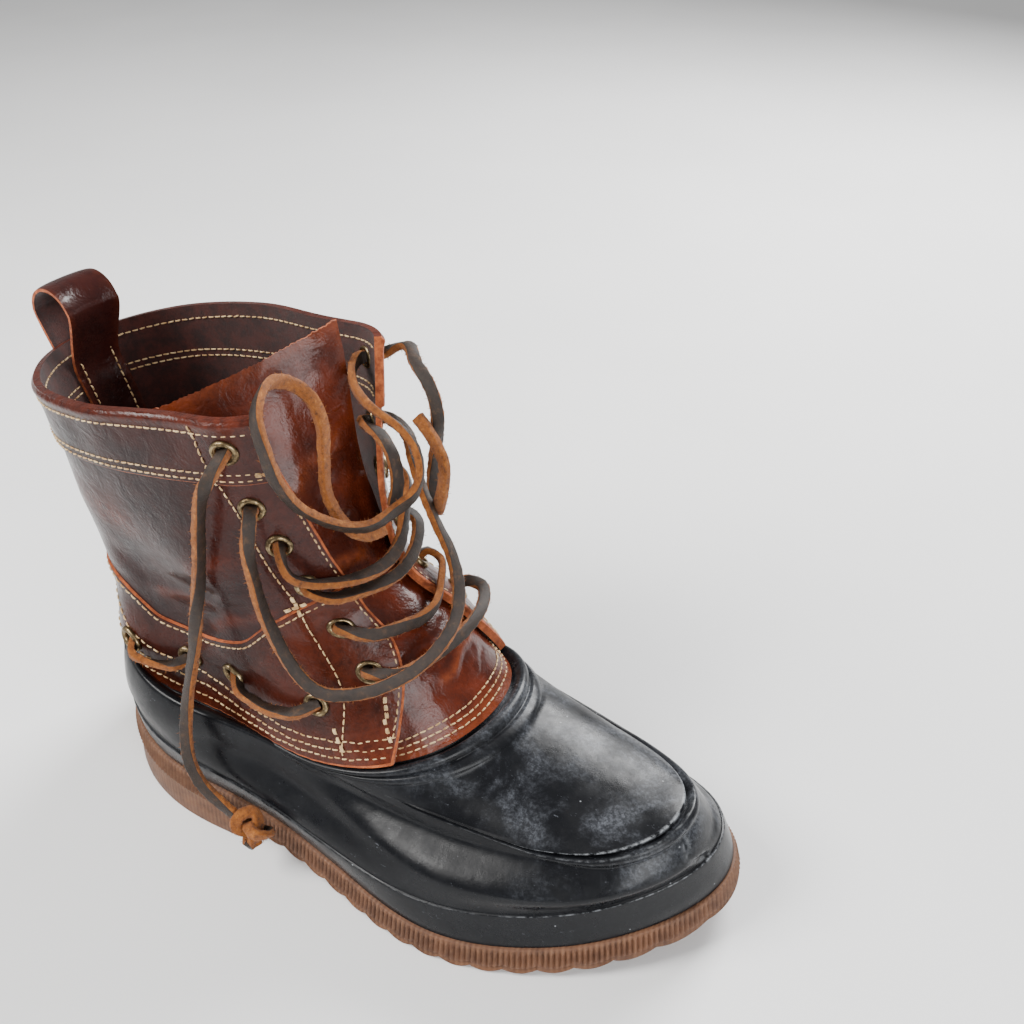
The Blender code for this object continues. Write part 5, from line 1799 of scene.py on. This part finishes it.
def seam_stitches(template, points, normals):
    """Points of all the stitches along one seam."""
    along_way = np.gradient(points, axis=0)
    along_way /= np.linalg.norm(along_way, axis=1, keepdims=True)
    count = len(points)
    lean = stitch_random.normal(0, STITCH_LEAN, count)[:, None]
    side = np.cross(normals, along_way)
    along_way = along_way + side * lean
    size = STITCH_LENGTH * (1 + stitch_random.normal(0, STITCH_UNEVEN, count))
    body = points[:, None] + template[None, :, 0:1] * (along_way * size[:, None])[:, None]
    body = body + template[None, :, 1:2] * STITCH_RADIUS * side[:, None]
    return body + template[None, :, 2:3] * STITCH_RADIUS * normals[:, None]


def sew(name, seams):
    """Joins the stitches of several seams, each given as points and normals, into one mesh."""
    template, faces = stitch_template()
    bodies = np.concatenate([seam_stitches(template, *seam) for seam in seams])
    shift = np.arange(len(bodies))[:, None, None] * len(template)
    joined = (faces[None] + shift).reshape(-1, 4)
    made = add_piece(name, bodies.reshape(-1, 3), joined, [THREAD], sharp=80)
    print(name, "has", len(bodies), "stitches")


def on_quarters(knots, lift=0.0):
    """A seam's even points and normals on the outside of the quarters."""
    turn, v = follow(knots, STITCH_PITCH)
    place = last_point(turn, v)
    life = soft_swell(place) + crease_field(turn, v, place, CREASES)
    proud = quarter_proud(turn, v) + life + lift
    return skin(turn, v, proud), last_normal(turn, v)


def both_sides(knots, lift=0.0):
    """A seam on the outer side of the boot, and the same one on the inner side."""
    return [on_quarters(knots, lift), on_quarters([(-turn, v) for turn, v in knots], lift)]


print("stitch has", len(stitch_template()[1]), "faces")

# %% Seams of the quarters
SEAM_IN = 0.0021            # from a cut edge to its seam
CUFF_ROWS = (0.0018, 0.0046)
FOOT_ROWS = (0.0042, 0.0078, 0.0114)
FOOT_ENDS = (0.385, 0.395, 0.402)
FRONT_MARGIN = 0.0023
COLLAR_MARGIN = 0.0058
STRAP_REACH = 0.036         # the turn where the band's rows stop beside the strap
ROW_WANDER = 0.0012


def level_seam(offset_from, distance, turns):
    """Knots that keep a distance from a line given by a function of the turn."""
    turns = np.asarray(turns, float)
    return list(zip(turns, raised(turns, offset_from(turns), distance)))


def front_edge_knots(margin, low, high):
    """Knots that keep a margin behind the quarters' front edge."""
    levels = np.linspace(low, high, 14)
    turns = column(THROAT_EDGE, levels)
    return list(zip(turns - margin / speeds(turns, levels)[0], levels))


def flat_level(level):
    """A line at one level all round."""
    return lambda turns: level + 0 * turns


def quarter_seams():
    """All the seams on the outside of the quarters."""
    reach = np.linspace(-0.408, 0.408, 60)
    seams = [on_quarters(level_seam(flat_level(1.0), -COLLAR_MARGIN, reach))]
    for distance in CUFF_ROWS:
        for turns in (reach[reach < -STRAP_REACH], reach[reach > STRAP_REACH]):
            seams.append(on_quarters(level_seam(flat_level(CUFF_LINE), distance, turns)))
    seams += both_sides(level_seam(quarter_lines, -SEAM_IN, np.linspace(0.034, 0.440, 40)))
    for i, (distance, end) in enumerate(zip(FOOT_ROWS, FOOT_ENDS)):
        run = level_seam(flat_level(LEATHER_FOOT), distance, np.linspace(0.0, end, 40))
        seams += both_sides([(t, v + ROW_WANDER * math.sin(t * 260 + i)) for t, v in run])
    seams += both_sides(FACING_SEAM)
    seams += both_sides(front_edge_knots(FRONT_MARGIN, 0.462, 0.988))
    return seams


# Places where a seam was sewn back over its own end: turn, level, and how far it runs along the
# turn and the level in millimetres
TACKS = ((0.3535, 0.468, 0.0, 7.5), (0.4000, 0.470, 1.0, 7.5), (0.4065, 0.497, 1.5, 6.0),
         (0.3800, 0.705, 0.0, 6.0), (0.3775, 0.700, 7.0, 1.5), (0.3495, 0.943, 0.0, 5.0),
         (0.4060, 0.941, 5.0, 0.0))
TACK_SPREAD = 0.00042
TACK_LIFT = 0.0002


def back_tacks():
    """Short thick bars of thread, three stitches side by side."""
    bars = []
    for turn, v, ahead, upward in TACKS:
        per_turn, per_level = speeds(np.float64(turn), np.float64(v))
        reach = math.hypot(ahead, upward)
        for row in (-1, 0, 1):
            off_turn = row * TACK_SPREAD * upward / reach / per_turn
            off_level = -row * TACK_SPREAD * ahead / reach / per_level
            ends = []
            for share in (-0.5, 0.0, 0.5):
                ends.append((turn + off_turn + share * ahead / 1000 / per_turn,
                             v + off_level + share * upward / 1000 / per_level))
            bars += both_sides(ends, TACK_LIFT)
    return bars


sew("stitches_quarters", quarter_seams() + back_tacks())

# %% Seams of the lining, the vamp and the tongue


def on_lining(knots):
    """A seam on the inside face of the quarters."""
    turn, v = follow(knots, STITCH_PITCH)
    place = last_point(turn, v)
    life = (soft_swell(place) + crease_field(turn, v, place, CREASES)) * LINING_LIFE
    return skin(turn, v, -LEATHER_WALL + life), -last_normal(turn, v)


def on_tongue(knots):
    """A seam on the vamp or tongue, by (share across, share up) knots."""
    fine = catmull(knots, 16)
    run = lengths(tongue_point(fine[:, 0], fine[:, 1]))
    even = np.linspace(0, run[-1], max(3, round(run[-1] / STITCH_PITCH) + 1))
    across = np.interp(even, run, fine[:, 0])
    share = np.interp(even, run, fine[:, 1])
    place = tongue_point(across, share)
    away = tongue_point(across, share, 0.001) - place
    return tongue_point(across, share, soft_swell(place)), away / 0.001


lining_seams = []
for distance in CUFF_ROWS:
    for turns in (np.linspace(-0.40, -STRAP_REACH, 30), np.linspace(STRAP_REACH, 0.40, 30)):
        lining_seams.append(on_lining(level_seam(flat_level(CUFF_LINE), distance, turns)))
lining_seams.append(on_lining(level_seam(flat_level(1.0), -COLLAR_MARGIN, np.linspace(-0.40, 0.40, 50))))
sew("stitches_lining", lining_seams)

VAMP_ROW_SHARES = (0.016, 0.030, 0.044)
TONGUE_SEAMS = (
    ((-0.62, 0.700), (-0.42, 0.712), (-0.20, 0.735)),
    ((0.00, 0.700), (0.11, 0.706), (0.24, 0.714), (0.36, 0.722)),
    ((0.10, 0.848), (0.20, 0.852), (0.32, 0.858)),
)
vamp_rows = [[(a, share + ROW_WANDER * math.sin(a * 9)) for a in np.linspace(-0.93, 0.93, 16)]
             for share in VAMP_ROW_SHARES]
sew("stitches_vamp", [on_tongue(knots) for knots in (*vamp_rows, *TONGUE_SEAMS)])

# %% Seams of the strap
STRAP_MARGIN = 0.14         # share of the width, from the strap's edge to its seam


def strap_turn(share):
    """The turn at a share of the strap's width."""
    return STRAP_TURNS[0] + (STRAP_TURNS[-1] - STRAP_TURNS[0]) * share


def strap_face(inside):
    """How proud the strap's open face stands, and which way it looks."""
    if inside:
        return -LEATHER_WALL - GAP - STRAP_WALL, -1
    return OVERLAY + GAP + STRAP_WALL, 1


def on_strap(share, first, last_level, inside):
    """A seam along the strap, on its outer run or on the run inside the collar."""
    proud, facing = strap_face(inside)
    turn = strap_turn(share)
    even = even_points(skin(turn, np.linspace(first, last_level, 24), proud), STITCH_PITCH)
    return even, facing * last_normal(turn, np.linspace(first, last_level, len(even)))


def across_strap(level, inside):
    """A short seam across the strap."""
    proud, facing = strap_face(inside)
    turn = strap_turn(np.linspace(STRAP_MARGIN, 1 - STRAP_MARGIN, 7))
    return skin(turn, level, proud), facing * last_normal(turn, level)


strap_seams = []
for share in (STRAP_MARGIN, 1 - STRAP_MARGIN):
    strap_seams.append(on_strap(share, 0.475, 0.985, False))
    strap_seams.append(on_strap(share, 0.845, 0.985, True))
for level, inside in ((0.938, False), (0.946, False), (0.985, True), (0.845, True)):
    strap_seams.append(across_strap(level, inside))
sew("stitches_strap", strap_seams)

# %% [markdown]
# ## Floor and light
# The boot stands on a plain pale floor under soft light. A big lamp up to the left gives the wax
# its broad highlight, a second from the right lifts the shaded side, and a third from behind
# draws the rims. The floor is a finished surface too, so it has a faint mottle.

# %% Floor
FLOOR_SIZE = 6.0
FLOOR_DROP = 0.0003


def floor_finish():
    """Matt, nearly white."""
    made, tree, shader = new_finish("studio_floor", tint(236, 236, 236), 0.85, specular=0.2)
    where = place_node(tree)
    cloud = stretch_range(tree, noise(tree, where, 0.4, 3.0, 0.5), 0.3, 0.7)
    wire(tree, shader, blend_colours(tree, cloud, tint(232, 232, 232), tint(240, 240, 240)))
    return made


def make_floor():
    """A wide sheet just under the sole."""
    half = FLOOR_SIZE / 2
    corners = [(-half, -half, -FLOOR_DROP), (half, -half, -FLOOR_DROP), (half, half, -FLOOR_DROP),
               (-half, half, -FLOOR_DROP)]
    mesh = bpy.data.meshes.new("floor")
    mesh.from_pydata(corners, [], [(0, 1, 2, 3)])
    mesh.materials.append(floor_finish())
    made = bpy.data.objects.new("floor", mesh)
    bpy.context.scene.collection.objects.link(made)


make_floor()
print("floor of", FLOOR_SIZE, "m")

# %% Lamps
BOOT_MIDDLE = Vector((0.11, 0.0, 0.10))
# name, place, size in metres, power in watts, colour
LAMPS = (
    ("key_lamp", (-0.55, -0.75, 1.15), 0.6, 30.0, (1.0, 0.985, 0.96)),
    ("fill_lamp", (1.00, -0.50, 0.60), 0.6, 11.0, (0.97, 0.985, 1.0)),
    ("back_lamp", (0.20, 1.05, 0.85), 0.6, 30.0, (1.0, 1.0, 1.0)),
)
WORLD_GREY = 0.9
WORLD_STRENGTH = 0.42


def add_lamp(name, place, size, power, colour):
    """A square soft lamp that faces the boot."""
    light = bpy.data.lights.new(name, "AREA")
    light.size = size
    light.energy = power
    light.color = colour
    lamp = bpy.data.objects.new(name, light)
    lamp.location = place
    lamp.rotation_euler = (BOOT_MIDDLE - Vector(place)).to_track_quat("-Z", "Y").to_euler()
    bpy.context.scene.collection.objects.link(lamp)


for lamp in LAMPS:
    add_lamp(*lamp)
world = bpy.data.worlds.new("studio")
world.use_nodes = True
background = world.node_tree.nodes["Background"]
background.inputs["Color"].default_value = (WORLD_GREY, WORLD_GREY, WORLD_GREY, 1.0)
background.inputs["Strength"].default_value = WORLD_STRENGTH
bpy.context.scene.world = world
print("lamps:", len(LAMPS))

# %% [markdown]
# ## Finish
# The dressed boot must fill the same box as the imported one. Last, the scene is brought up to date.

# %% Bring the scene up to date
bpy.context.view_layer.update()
